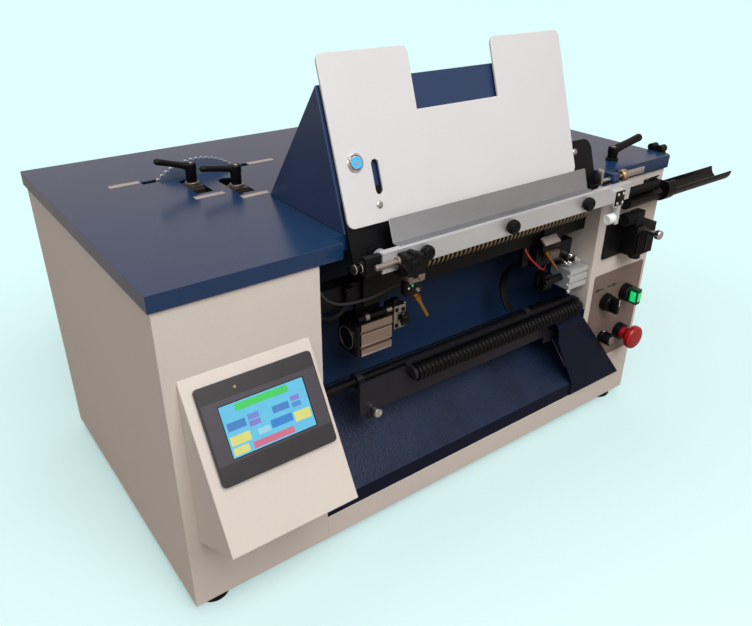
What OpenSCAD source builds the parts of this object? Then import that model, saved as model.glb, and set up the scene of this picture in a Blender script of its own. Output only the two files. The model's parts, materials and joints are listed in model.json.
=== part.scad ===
// Coil inserting machine for spiral-bound books, free-standing on a bench.
// Millimetres, +X right, +Y back, +Z up, origin under the middle of the whole outline.

/* [Body] */
// Width across the two housings
body_w = 726; // [716:1:736]
// Depth of the housings
body_d = 416; // [408:1:424]
// Height of the walls under the lid sheet
body_h = 373; // [368:1:380]
// Thickness of the folded sheets
sheet_t = 2; // [1.8:0.1:2.2]
// Width of the left housing
left_w = 168; // [164:1:172]
// Width of the right housing
right_w = 126; // [122:1:130]
// Height of the front strip of the pan
strip_h = 33; // [30:1:36]
// Height of a foot
foot_h = 14; // [10:1:18]
// Radius of a foot
foot_r = 19.5; // [15:0.5:21]

/* [Lid] */
// Depth of the lid's folded skirt
skirt_h = 17; // [15:0.5:19]
// Gap between the lid's skirt and the walls
lid_gap = 1; // [0.8:0.1:1.5]
// Radius of the index wheel over its teeth
wheel_r = 80; // [74:1:84]
// Length of a rear lever handle; the right lever is 12 mm longer
lever_l = 40; // [36:1:46]

/* [Backrest] */
// Lean of the backrest from the vertical, in degrees
lean = 18.9; // [17.5:0.1:20]
// Length of the backrest plate up its slope
rest_l = 168; // [150:1:180]
// Thickness of the backrest plate
rest_t = 3; // [2.5:0.1:3.5]
// Width of the notch in the backrest's top
notch_w = 117; // [100:1:125]

/* [Console] */
// Width of the console box
hmi_w = 139; // [134:1:144]
// Length of the console's sloping face
hmi_l = 170.7; // [164.7:1:176.7]
// Tilt of the console's face from the vertical, in degrees
hmi_tilt = 30; // [28:0.5:32]

/* [Carrier] */
// Height of the clamp bar
bar_h = 21.5; // [20:0.5:23]
// Thickness of the clamp bar
bar_t = 8; // [7.5:0.1:8.5]
// Pitch of the comb's teeth and of the roller's ribs
pitch = 6.35; // [6.05:0.05:6.75]
// Radius of a bar knob
bar_knob_r = 9; // [8:0.5:10]

/* [Roller and tray] */
// Radius over the roller's ribs
roller_r = 11; // [10.4:0.1:11.2]
// Slope of the tray, in degrees
tray_slope = 46.9; // [45:0.1:48]

/* [Feed] */
// Outer radius of the coil trough
trough_r = 15.5; // [14:0.5:17]
// Reach of the trough beyond the lid's right side
trough_reach = 106; // [90:1:120]

/* [Fits] */
// Radial gap of a shaft in its bore
run = 0.05; // [0.03:0.01:0.08]
// Gap between a moving piece and its neighbour
slip = 0.3; // [0.25:0.01:0.4]

/* [Hidden] */
$fn = 64;

cream = "#d3cabb";
navy = "#2c4468";
black = "#1d1e20";
alu = "#b4b7ba";
steel = "#9a9da1";
chrome = "#d5d8da";
brass = "#b5944a";

// Outline of the body and the lid
lid_over = lid_gap + sheet_t;
hmi_out = hmi_l * sin(hmi_tilt);
xl = lid_over - (body_w + 2 * lid_over + trough_reach) / 2;
xr = xl + body_w;
yf = hmi_out - (body_d + lid_over + hmi_out) / 2;
yb = yf + body_d;
z0 = foot_h;
zt = z0 + body_h;
lz = zt + sheet_t;
// Inner faces of the two housings, and how far back their inner walls reach
cl = xl + left_w;
cr = xr - right_w;
cheek_y = yf + 132;

// Backrest plane: local x along the machine, local y up the slope, local z to the front
rest_y = yf + 6.7;
rest_z = lz - 0.3;
brk_t = 3;
function rp(v, w) = [rest_y + v * sin(lean) - w * cos(lean), rest_z + v * cos(lean) + w * sin(lean)];
function v_at(z, w) = (z - rest_z - w * sin(lean)) / cos(lean);
rest_x0 = cl + 41;
rest_x1 = cr - 53;
rest_v0 = 6;
button_x = cl + 62.4;
button_v = 69;
button_r = 7;

// Hood behind the backrest
hood_w = -rest_t - brk_t;
hood_h = 136.5;
hood_x0 = cl + 38;
hood_x1 = cr - 77;
hood_f = rp(v_at(lz, hood_w), hood_w);
hood_a = rp(v_at(lz + hood_h, hood_w), hood_w);
hood_r = [hood_a[0] + 104, lz];
hood_k = (hood_r[0] - hood_a[0]) / hood_h;
hood_ft = sheet_t / cos(lean);
hood_rt = sheet_t * sqrt(1 + hood_k * hood_k);
hood_in_h = (hood_r[0] - hood_rt - hood_f[0] - hood_ft) / (tan(lean) + hood_k);

// Lid outline, its front notch, its slots and the pieces that stand on it
lx0 = xl - lid_over;
lx1 = xr + lid_over;
ly0 = yf - lid_over;
ly1 = yb + lid_over;
nx0 = cl + 25.5;
nx1 = cr - 12.2;
ny = hood_f[0] + 1.9;
stud_r = 4;
block_w = 19;
lever_end_r = 4.2;
slot_w = block_w + 1;
b1x = cl - 18;
b1y = yf + 251;
b2x = cl + 21.5;
b2y = yf + 214;
l3x = cr + 44;
l3y = yf + 28;
wheel_x = cl + 4;
wheel_y = yf + 287;
wheel_z = lz + 20 - wheel_r;
axle_r = 5;
star_y = yf + 23;
star_z = lz - 8;
stop_r = 2.5;
stop_nut_r = 8;
stop_y = ly0 - stop_nut_r - 2 * slip;
stop_z = lz - 6;

// Tray, cavity back and end guard
lip_z = z0 + strip_h + 20;
tray_run = 89;
tray_y1 = yf + tray_run;
tray_z1 = lip_z + tray_run * tan(tray_slope);
back_fold = [10, 7.9];
back_y1 = tray_y1 - back_fold[0];
back_z1 = tray_z1 + back_fold[1];
back_y0 = cheek_y - 4;
guard_x0 = cr - 53;
guard_z = lz - 214;
guard_b = z0 + strip_h + 2;
guard_x1 = cr + (guard_z - guard_b) * 0.8457;

// Console
hmi_z = lz - 91;
hmi_x0 = xl + 13.5;
hmi_x1 = hmi_x0 + hmi_w;
hmi_c = [yf - hmi_out, hmi_z - hmi_l * cos(hmi_tilt)];
bez_x0 = hmi_x0 + 10.5;
bez_x1 = hmi_x1 - 6;
bez_y0 = -106.5;
bez_y1 = -12.5;
bez_t = 6;
scr_x0 = bez_x0 + 16;
scr_x1 = bez_x1 - 16;
scr_y0 = -85;
scr_y1 = -34;
scr_t = 1.5;

// Control panel: places of the four controls as [x, z]
plate_t = 1.2;
yp = yf - plate_t;
plate_x0 = cr + 10.5;
plate_x1 = xr - 7;
plate_z0 = lz - 296;
plate_z1 = lz - 152;
at_estop = [cr + 85, lz - 258.5];
at_sel = [cr + 41.5, lz - 198];
at_lit = [cr + 84, lz - 194];
at_speed = [cr + 45, lz - 255];
shank_r = 11;
pot_r = 5;
spindle_r = 4;
pot_spindle_r = 3;
estop_stem_r = 9;

// Carrier with its bar
bar_x0 = cl + 54;
bar_x1 = cr + 11;
bar_y0 = yf - 29;
bar_y1 = bar_y0 + bar_t;
bar_top = lz - 9.5;
bar_bot = bar_top - bar_h;
pin_r = 4;
pin_z = lz - 21;
pin_xs = [cl + 64, cr - 24];
knob_shank_r = 3;
knob_d = 10;
knob_z = lz - 19.5;
knob_xs = [cl + 106.5, (cl + cr) / 2 + 13.5, cr - 75];
comb_x0 = cl + 118;
comb_x1 = cr - 60;
comb_n = floor((comb_x1 - comb_x0 - 3) / pitch) + 1;
tray_w = 14;
tray_t = 1.5;
shelf_x0 = cl + 79;
shelf_x1 = cr - 54;
rebate = 3;
stop_x = cl + 81;
stop_t = 7;
stop_knob_z = lz - 22;
nylon_y = bar_y0 - 4;
nylon_z = lz - 49;
nylon_r = 6.5;

// Cavity bars and cutter heads
rail_y0 = yf + 22;
rail_y1 = yf + 42;
rail_z0 = lz - 85;
rail_z1 = lz - 60;
strap_x = cr - 116.5;
strap_w = 11;
strap_r = 40;
strap_t = 3;
shaft_r = 6;
shaft_y = yf + 37;
shaft_z = lz - 197;
rod_r = 5;
lrod_y = yf + 35;
lrod_z = lz - 132;
lcyl_h = 20;
rrod_y = yf + 21;
rrod_z = lz - 146;
rcyl_h = 14;

// Roller and its cradle
roll_y = yf + 4.4;
roll_z = lz - 191;
roll_x0 = cl + 129;
roll_x1 = cr - 15;
journal_r = 4;
web_y0 = yf + 16;
web_y1 = yf + 19;
web_z0 = lz - 230;
cknob_x = cl + 78;
cknob_z = lz - 229.5;

// Coil feed
tr_y = yf - 23;
tr_z = lz - 32;
tr_x0 = xr - 41;
tr_x1 = lx1 + trough_reach;
feed_y = yf - 18;
feed_z = lz - 67;
dknob_x = cr + 75;
dknob_z = lz - 91;
feed_shank_r = 3;

module box(a, b) {
  translate(a) cube(b - a);
}

module cyl_x(x0, x1, y, z, r) {
  translate([x0, y, z]) rotate([0, 90, 0]) cylinder(r = r, h = x1 - x0);
}

module cyl_y(y0, y1, x, z, r) {
  translate([x, y0, z]) rotate([-90, 0, 0]) cylinder(r = r, h = y1 - y0);
}

module cyl_z(za, zb, x, y, r) {
  translate([x, y, za]) cylinder(r = r, h = zb - za);
}

// Outline in (Y, Z) drawn out along X
module yz(x0, x1) {
  translate([x0, 0, 0]) rotate([90, 0, 90]) linear_extrude(x1 - x0) children();
}

// Outline in (X, Z) drawn out to the front from y0
module xz(y0, t) {
  translate([0, y0, 0]) rotate([90, 0, 0]) linear_extrude(t) children();
}

module rrect(x0, y0, x1, y1, r) {
  translate([x0 + r, y0]) square([x1 - x0 - 2 * r, y1 - y0]);
  translate([x0, y0 + r]) square([x1 - x0, y1 - y0 - 2 * r]);
  for (x = [x0 + r, x1 - r], y = [y0 + r, y1 - r]) translate([x, y]) circle(r);
}

module rest_plane() {
  translate([0, rest_y, rest_z]) rotate([90 - lean, 0, 0]) children();
}

module hmi_plane() {
  translate([0, yf, hmi_z]) rotate([90 - hmi_tilt, 0, 0]) children();
}

// Floor sheet with the strip under the cavity
module base_pan() {
  color(cream) {
    box([xl + sheet_t, yf + sheet_t, z0], [xr - sheet_t, yb - sheet_t, z0 + sheet_t]);
    box([cl, yf, z0], [cr, yf + sheet_t, z0 + strip_h]);
  }
}

module left_housing() {
  color(cream) difference() {
    union() {
      box([xl, yf, z0], [xl + sheet_t, yb - sheet_t, zt]);
      box([xl, yf, z0], [cl, yf + sheet_t, zt]);
      box([cl - sheet_t, yf, z0 + sheet_t], [cl, cheek_y, zt]);
    }
    cyl_y(yf - 1, yf + sheet_t + 1, (hmi_x0 + hmi_x1) / 2, hmi_c[1] + 24, 12);
  }
}

module right_housing() {
  color(cream) difference() {
    union() {
      box([xr - sheet_t, yf, z0], [xr, yb - sheet_t, zt]);
      box([cr, yf, z0], [xr, yf + sheet_t, zt]);
      box([cr, yf, z0 + sheet_t], [cr + sheet_t, cheek_y, zt]);
    }
    for (p = [at_estop, at_sel, at_lit]) cyl_y(yf - 1, yf + sheet_t + 1, p[0], p[1], shank_r + 0.2);
    cyl_y(yf - 1, yf + sheet_t + 1, at_speed[0], at_speed[1], pot_r + 0.2);
    cyl_x(xr - sheet_t - 1, xr + 1, star_y, star_z, stud_r + run);
  }
}

module rear_panel() {
  color(cream) difference() {
    box([xl, yb - sheet_t, z0], [xr, yb, zt]);
    for (i = [0 : 7], x = [xl + 150, xr - 250])
      box([x, yb - sheet_t - 1, z0 + 200 + i * 14], [x + 90, yb + 1, z0 + 205 + i * 14]);
    box([cr - 32.2, yb - sheet_t - 1, z0 + 45.8], [cr + 8.2, yb + 1, z0 + 76.2]);
  }
}

// Slot in the lid for a clamp slide, rounded at its back end
module lid_slot(x, ya, yc) {
  box([x - slot_w / 2, ya, zt - 1], [x + slot_w / 2, yc, lz + 1]);
  cyl_z(zt - 1, lz + 1, x, yc, slot_w / 2);
}

module lid() {
  color(navy) difference() {
    union() {
      box([lx0, ly0, zt], [lx1, ly1, lz]);
      box([lx0, ly0, lz - skirt_h], [lx1, ly0 + sheet_t, lz]);
      box([lx0, ly1 - sheet_t, lz - skirt_h], [lx1, ly1, lz]);
      box([lx0, ly0, lz - skirt_h], [lx0 + sheet_t, ly1, lz]);
      box([lx1 - sheet_t, ly0, lz - skirt_h], [lx1, ly1, lz]);
      box([nx0 - sheet_t, ly0, lz - skirt_h], [nx0, ny + sheet_t, lz]);
      box([nx1, ly0, lz - skirt_h], [nx1 + sheet_t, ny + sheet_t, lz]);
      box([nx0 - sheet_t, ny, lz - skirt_h], [nx1 + sheet_t, ny + sheet_t, lz]);
      box([cr - 9, stop_y - 5, stop_z - 6], [cr + 3, ly0, stop_z + 6]);
    }
    box([nx0, ly0 - 1, lz - skirt_h - 1], [nx1, ny, lz + 1]);
    lid_slot(b1x, b1y - 38, b1y + 12);
    lid_slot(b2x, b2y - 27, b2y + 27);
    box([wheel_x - 70, wheel_y - 5.5, zt - 1], [wheel_x + 70, wheel_y + 5.5, lz + 1]);
    cyl_x(lx1 - sheet_t - 1, lx1 + 1, star_y, star_z, stud_r + slip);
    cyl_x(cr - 10, cr + 4, stop_y, stop_z, stop_r + run);
    cyl_z(zt - 1, lz + 1, l3x, l3y, stud_r + run);
  }
}

// Wedge cover that stiffens the backrest from behind
module hood() {
  color(navy) difference() {
    yz(hood_x0, hood_x1) polygon([hood_f, hood_a, hood_r]);
    yz(hood_x0 + sheet_t, hood_x1 - sheet_t) polygon([
      [hood_f[0] + hood_ft - tan(lean), lz - 1],
      [hood_f[0] + hood_ft + hood_in_h * tan(lean), lz + hood_in_h],
      [hood_r[0] - hood_rt + hood_k, lz - 1]]);
    rest_plane() translate([button_x, button_v, hood_w - 8]) cylinder(r = 12, h = 12);
  }
}

module backrest() {
  color(cream) rest_plane() translate([0, 0, -rest_t]) linear_extrude(rest_t) difference() {
    union() {
      rrect(rest_x0, rest_v0, cl + 150, rest_v0 + rest_l, 8);
      rrect(cl + 150 + notch_w, rest_v0, rest_x1, rest_v0 + rest_l, 8);
      rrect(rest_x0, rest_v0, rest_x1, 110, 8);
    }
    translate([button_x, button_v]) circle(button_r + run);
    translate([cl + 81, 38.5]) square([9, 26]);
    for (v = [38.5, 64.5]) translate([cl + 85.5, v]) circle(4.5);
  }
}

// Black plate under the backrest, rounded at its top corners, with the two guide pins of the carrier
module rest_bracket() {
  color(black) {
    rest_plane() translate([0, 0, -rest_t - brk_t]) linear_extrude(brk_t) union() {
      rrect(cl + 40, -32, cr - 15, 20, 4);
      rrect(cl + 40, -10, cr - 15, 43, 14);
    }
    for (x = pin_xs) {
      cyl_y(yf - 4, yf + 4, x, pin_z, 7);
      cyl_y(yf - 23, yf - 4, x, pin_z, pin_r);
    }
  }
}

module cavity_back() {
  color(navy) yz(cl, cr) polygon([[back_y0, zt], [back_y1, back_z1], [tray_y1, tray_z1],
    [tray_y1, tray_z1 + 1.3 * sheet_t], [back_y1 + 1.15 * sheet_t, back_z1 + 0.6 * sheet_t],
    [back_y0 + 1.05 * sheet_t, zt]]);
}

// Sloped catch tray with its upright front lip
module tray() {
  under = sheet_t / cos(tray_slope);
  color(navy) yz(cl, cr) polygon([[yf, z0 + strip_h], [yf, lip_z], [tray_y1, tray_z1],
    [tray_y1, tray_z1 - under], [yf + sheet_t, lip_z + sheet_t * tan(tray_slope) - under],
    [yf + sheet_t, z0 + strip_h]]);
}

// Flat guard in front of the roller's right end, its top folded back under the roller
module end_guard() {
  color(navy) {
    xz(yf, sheet_t) polygon([[guard_x0, guard_z], [cr, guard_z], [guard_x1, guard_b],
      [cr - 6, guard_b], [cr - 6, guard_b + 20], [guard_x0 + 2, guard_z - 20]]);
    yz(guard_x0, cr) polygon([[yf - sheet_t, guard_z], [yf - sheet_t + 22, guard_z + 20],
      [yf + 23.35 - sheet_t, guard_z + 18.52], [yf, guard_z - 0.89], [yf, guard_z - 3],
      [yf - sheet_t, guard_z - 3]]);
  }
}

module hmi_box() {
  s = sin(hmi_tilt);
  c = cos(hmi_tilt);
  back_z = hmi_c[1] - hmi_out * s / c;
  in_c = [hmi_c[0] + sheet_t * (s + c), hmi_c[1] + sheet_t * (c - s)];
  run_up = (yf + 1 - in_c[0]) / s;
  run_back = (yf + 1 - in_c[0]) / c;
  color(cream) difference() {
    yz(hmi_x0, hmi_x1) polygon([[yf, hmi_z], hmi_c, [yf, back_z]]);
    yz(hmi_x0 + sheet_t, hmi_x1 - sheet_t) polygon([[yf + 1, in_c[1] + run_up * c], in_c,
      [yf + 1, in_c[1] - run_back * s]]);
    hmi_plane() box([bez_x0 + 4 - slip, -102 - slip, -sheet_t - 2], [bez_x1 - 4 + slip, -58 + slip, 1]);
  }
}

// Screen surround with its body through the face
module hmi_bezel() {
  color("#2b2d31") hmi_plane() difference() {
    union() {
      linear_extrude(bez_t) rrect(bez_x0, bez_y0, bez_x1, bez_y1, 4);
      box([bez_x0 + 4, -102, -25], [bez_x1 - 4, -58, 0]);
    }
    box([scr_x0, scr_y0, bez_t - scr_t], [scr_x1, scr_y1, bez_t + 1]);
  }
}

module touch_screen() {
  color("#5db4d8") hmi_plane() box([scr_x0, scr_y0, bez_t - scr_t], [scr_x1, scr_y1, bez_t - 0.3]);
}

module control_plate() {
  color("#8f949b") xz(yf, plate_t) difference() {
    rrect(plate_x0, plate_z0, plate_x1, plate_z1, 4);
    polygon([[cr + 0.5, guard_z + 0.5], [guard_x1 + 0.5, guard_b + 0.5], [guard_x1, guard_b - 60],
      [cr - 60, guard_b - 60], [cr - 60, guard_z + 0.5]]);
    for (p = [at_estop, at_sel, at_lit]) translate(p) circle(shank_r + 0.2);
    translate(at_speed) circle(pot_r + 0.2);
  }
}

module feet() {
  color(black) for (x = [xl + 28, xr - 28], y = [yf + 24, yb - 24]) cyl_z(0, foot_h, x, y, foot_r);
}

// Collar on the panel, shank through the wall and contact block behind it
module switch_body(p, collar_r, collar_t, shank, bore, depth) {
  difference() {
    union() {
      cyl_y(yp - collar_t, yp, p[0], p[1], collar_r);
      cyl_y(yp, yf + 13, p[0], p[1], shank);
      box([p[0] - shank - 2, yf + 13, p[1] - shank - 2], [p[0] + shank + 2, yf + 38, p[1] + shank + 2]);
    }
    cyl_y(yp - collar_t - 1, yf + depth, p[0], p[1], bore);
  }
}

module switch_bodies() {
  color(black) {
    switch_body(at_estop, 12.5, 10, shank_r, estop_stem_r + run, 6);
    switch_body(at_sel, 13, 5, shank_r, spindle_r + run, 6);
    switch_body(at_lit, 13, 5, shank_r, spindle_r + run, 6);
    switch_body(at_speed, 7, 3, pot_r, pot_spindle_r + run, 6);
  }
}

module estop_button() {
  color("#c8202a") {
    cyl_y(yp - 26, yf - 4, at_estop[0], at_estop[1], estop_stem_r);
    cyl_y(yp - 31, yp - 24, at_estop[0], at_estop[1], 17.5);
    translate([at_estop[0], yp - 31, at_estop[1]]) rotate([90, 0, 0]) cylinder(r1 = 17.5, r2 = 13, h = 4);
  }
}

module turn_switch(p, r, gw, gl) {
  cyl_y(yp - 8, yf + 4, p[0], p[1], spindle_r);
  cyl_y(yp - 12, yp - 5 - slip, p[0], p[1], r);
  translate([p[0], yp - 12, p[1]]) box([-gw / 2, -gl, -r], [gw / 2, 0, r]);
}

module selector_knob() {
  color(black) turn_switch(at_sel, 12, 7, 12);
}

module lit_switch() {
  color("#3f9a54") turn_switch(at_lit, 12.5, 14, 14);
}

module speed_knob() {
  color(black) {
    cyl_y(yp - 8, yf + 3, at_speed[0], at_speed[1], pot_spindle_r);
    cyl_y(yp - 21, yp - 3 - slip, at_speed[0], at_speed[1], 9);
  }
}

module button_cap() {
  color("#3f7fd0") rest_plane() translate([button_x, button_v, -9]) {
    cylinder(r = button_r, h = 13);
    cylinder(r = button_r + 2.5, h = 2.5);
  }
}

// Bent shelf: its flat part lies in the bar's rebate, its lip leans with the book
module carrier_tray() {
  vt = v_at(lz + 13, tray_w);
  fr = tray_w + tray_t;
  color(alu) yz(shelf_x0, shelf_x1) polygon([[bar_y1 - rebate, bar_top - tray_t], [bar_y1 - rebate, bar_top],
    rp(v_at(bar_top, fr), fr), rp(vt, fr), rp(vt, tray_w), rp(v_at(bar_top - tray_t, tray_w), tray_w)]);
}

module clamp_bar() {
  color(alu) difference() {
    union() {
      box([bar_x0, bar_y0, bar_bot], [bar_x1, bar_y1, bar_top]);
      for (x = pin_xs) cyl_y(bar_y1 - 1, bar_y1 + 12, x, pin_z, 8);
    }
    for (x = pin_xs) cyl_y(bar_y0 + 3.5, bar_y1 + 13, x, pin_z, pin_r + run);
    for (x = knob_xs) cyl_y(bar_y0 - 1, bar_y1 + 1, x, knob_z, knob_shank_r + run);
    box([shelf_x0, bar_y1 - rebate, bar_top - tray_t], [shelf_x1, bar_y1 + 1, bar_top + 1]);
  }
}

module pitch_comb() {
  color("#8d8264") {
    box([comb_x0, bar_y1, bar_top - 27.5], [comb_x1, bar_y1 + 3, bar_top - 14.5]);
    for (i = [0 : comb_n - 1])
      translate([comb_x0 + i * pitch, bar_y1, bar_top - 34.5]) cube([3, 3, 8]);
  }
}

module bar_knob(x) {
  color(black) {
    cyl_y(bar_y0 - knob_d, bar_y0 - slip, x, knob_z, bar_knob_r);
    cyl_y(bar_y0 - 1, bar_y1 - 1, x, knob_z, knob_shank_r);
  }
}

module bar_knob_left() {
  bar_knob(knob_xs[0]);
}

module bar_knob_mid() {
  bar_knob(knob_xs[1]);
}

module bar_knob_right() {
  bar_knob(knob_xs[2]);
}

// End stop that slides along the bar
module stop_block() {
  color(black) difference() {
    union() {
      box([stop_x - 9, bar_y0 - stop_t, bar_bot - 5.5], [stop_x + 9, bar_y0 - slip, bar_top - 3]);
      box([stop_x - 9, bar_y0 - stop_t, bar_bot - 5.5], [stop_x + 9, bar_y1 - 0.5, bar_bot - slip]);
    }
    cyl_y(bar_y0 - stop_t - 1, bar_y0 - 1.5, stop_x, stop_knob_z, stud_r + run);
  }
}

module stop_knob() {
  color(black) {
    cyl_y(bar_y0 - stop_t - 12, bar_y0 - stop_t - slip, stop_x, stop_knob_z, 11);
    for (i = [0 : 7]) translate([stop_x, 0, stop_knob_z]) rotate([0, i * 45, 0])
      cyl_y(bar_y0 - stop_t - 12, bar_y0 - stop_t - slip, 11, 0, 3);
    cyl_y(bar_y0 - stop_t - 1, bar_y0 - 2, stop_x, stop_knob_z, stud_r);
  }
}

// Steel pin of the end stop, with the saddle, sensor block and air nozzle under it
module stop_rod() {
  color(steel) {
    cyl_x(stop_x - 39, stop_x - 9, bar_y0 - 4, lz - 20, 3.3);
    box([stop_x - 11, bar_y0 - 13, bar_bot - 15], [stop_x + 17, bar_y0 - 1, bar_bot - 5.5]);
    box([stop_x - 6, bar_y0 - 12, bar_bot - 30], [stop_x + 15, bar_y0 - 2, bar_bot - 14]);
    translate([stop_x + 8, bar_y0 - 7, bar_bot - 28]) rotate([0, 150, 0]) {
      cylinder(r = 4, h = 14);
      cylinder(r = 1.8, h = 38);
    }
  }
}

module guide_bracket() {
  color(alu) difference() {
    union() {
      box([cr - 25, bar_y0 - 5, bar_bot - 4], [cr - 7, bar_y0, bar_top - 4]);
      box([cr - 21, bar_y0 - 8, nylon_z - 8], [cr - 14, bar_y0, bar_bot - 3]);
    }
    cyl_x(cr - 22, cr - 13, nylon_y, nylon_z, feed_shank_r + run);
  }
}

module nylon_roller() {
  color("#eceae2") {
    cyl_x(cr - 34, cr - 21 - slip, nylon_y, nylon_z, nylon_r);
    cyl_x(cr - 22, cr - 12, nylon_y, nylon_z, feed_shank_r);
  }
}

// Head rail with its curved strap, and the round shaft that carries the cradle
module cross_bars() {
  color(black) {
    box([cl, rail_y0, rail_z0], [cr, rail_y1, rail_z1]);
    yz(strap_x, strap_x + strap_w) translate([yf + 18, lz - 149]) {
      intersection() {
        difference() {
          circle(strap_r);
          circle(strap_r - strap_t);
        }
        polygon([[0, 0], [60 * cos(-60), 60 * sin(-60)], [90, -60], [90, 60], [60 * cos(84), 60 * sin(84)]]);
      }
    }
    box([strap_x, rail_y0, lz - 112], [strap_x + strap_w, rail_y0 + strap_t, rail_z0 + 1]);
    cyl_x(cl, cr, shaft_y, shaft_z, shaft_r);
  }
}

module left_head() {
  color(black) difference() {
    union() {
      box([cl + 64, rail_y0 - 5, rail_z0 - 5], [cl + 97, rail_y1 + 5, rail_z1 + 5]);
      box([cl + 64, lrod_y - 3, lrod_z + lcyl_h], [cl + 97, lrod_y + 3, rail_z0 - 4]);
    }
    box([cl + 63, rail_y0 - slip, rail_z0 - slip], [cl + 98, rail_y1 + slip, rail_z1 + slip]);
  }
}

module left_cylinder() {
  color(alu) difference() {
    union() {
      box([cl + 61, lrod_y - 18, lrod_z - lcyl_h], [cl + 103, lrod_y + 18, lrod_z + lcyl_h]);
      cyl_x(cl + 53, cl + 61, lrod_y, lrod_z, 17);
    }
    cyl_x(cl + 72, cl + 104, lrod_y, lrod_z, rod_r + run);
    for (z = [-9, 9]) box([cl + 60, lrod_y - 19, lrod_z + z - 2], [cl + 104, lrod_y - 14, lrod_z + z + 2]);
  }
}

module left_plunger() {
  color(chrome) {
    cyl_x(cl + 74, cl + 113, lrod_y, lrod_z, rod_r);
    box([cl + 112, lrod_y - 10, lrod_z - 6], [cl + 129, lrod_y + 10, lrod_z + 24]);
    box([cl + 128, lrod_y - 2, lrod_z + 2], [cl + 135, lrod_y + 2, lrod_z + 21]);
  }
}

module right_head() {
  color(black) difference() {
    union() {
      box([cr - 87, rail_y0 - 5, rail_z0 - 5], [cr - 51, rail_y1 + 5, rail_z1 + 5]);
      box([cr - 97, rail_y0 - 5, lz - 117], [cr - 29, rail_y1 + 5, rail_z0 - 5]);
      box([cr - 37, rrod_y + 7, rrod_z + rcyl_h], [cr - 29, rrod_y + 13, lz - 116]);
    }
    box([cr - 88, rail_y0, rail_z0], [cr - 50, rail_y1, rail_z1]);
  }
}

module right_cylinder() {
  color(alu) difference() {
    box([cr - 39, rrod_y - 17, rrod_z - rcyl_h], [cr - 3, rrod_y + 17, rrod_z + rcyl_h]);
    cyl_x(cr - 40, cr - 14, rrod_y, rrod_z, rod_r + run);
    for (z = [-6, 6]) box([cr - 40, rrod_y - 18, rrod_z + z - 1.5], [cr - 2, rrod_y - 13, rrod_z + z + 1.5]);
  }
}

module right_plunger() {
  color(chrome) {
    cyl_x(cr - 66, cr - 16, rrod_y, rrod_z, rod_r);
    box([cr - 81, rrod_y - 9, rrod_z - 6], [cr - 65, rrod_y + 9, rrod_z + 16]);
    box([cr - 87, rrod_y - 2, rrod_z + 1], [cr - 80, rrod_y + 2, rrod_z + 14]);
  }
}

// Swinging carrier of the roller: plate behind it, end arms, lugs on the shaft
module roller_cradle() {
  color(black) difference() {
    union() {
      box([cl + 58, web_y0, web_z0], [guard_x0 - 4, web_y1, lz - 187]);
      box([cl + 125, web_y0, lz - 192], [cr - 10, web_y1, lz - 182]);
      box([cknob_x - 8, web_y0, web_z0 - 10], [cknob_x + 8, web_y1, web_z0 + 1]);
      box([guard_x0 - 8, web_y0, web_z0 - 11], [guard_x0 + 20, web_y1, web_z0 + 8]);
      cyl_x(roll_x0 - 5, roll_x0 - 0.5, roll_y, roll_z, 8);
      box([roll_x0 - 5, roll_y, roll_z - 6], [roll_x0 - 0.5, web_y0 + 1, roll_z + 8]);
      cyl_x(roll_x1 + 0.5, roll_x1 + 5, roll_y, roll_z, 8);
      box([roll_x1 + 0.5, roll_y, roll_z + 1], [roll_x1 + 5, web_y0 + 1, roll_z + 11]);
      for (x = [cl + 65, cr - 87]) {
        box([x, web_y0 + 2, shaft_z - 6], [x + 8, shaft_y, shaft_z + 6]);
        cyl_x(x, x + 8, shaft_y, shaft_z, 10);
      }
    }
    for (x = [cl + 64, cr - 88]) cyl_x(x, x + 10, shaft_y, shaft_z, shaft_r + run);
    cyl_x(roll_x0 - 6, roll_x0, roll_y, roll_z, journal_r + run);
    cyl_x(roll_x1, roll_x1 + 6, roll_y, roll_z, journal_r + run);
    cyl_y(web_y0 - 1, web_y1 + 1, cknob_x, cknob_z, knob_shank_r + run);
  }
}

module ribbed_roller() {
  l = roll_x1 - roll_x0;
  n = floor((l - 4.4) / pitch);
  color(black) {
    translate([roll_x0, roll_y, roll_z]) rotate([0, 90, 0]) rotate_extrude() polygon(concat([[0, 0]],
      [for (i = [0 : n], k = [0 : 3]) [roller_r - (k == 0 || k == 3 ? 1.6 : 0), i * pitch + [0, 0.6, 3.6, 4.2][k]]],
      [[roller_r - 1.6, l], [0, l]]));
    cyl_x(roll_x0 - 7, roll_x0 + 1, roll_y, roll_z, journal_r);
    cyl_x(roll_x1 - 1, roll_x1 + 7, roll_y, roll_z, journal_r);
  }
}

module cradle_knob() {
  color(chrome) {
    cyl_y(web_y0 - 10, web_y0 - slip, cknob_x, cknob_z, 5.5);
    cyl_y(web_y0 - 1, web_y1 + 3, cknob_x, cknob_z, knob_shank_r);
  }
}

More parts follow.
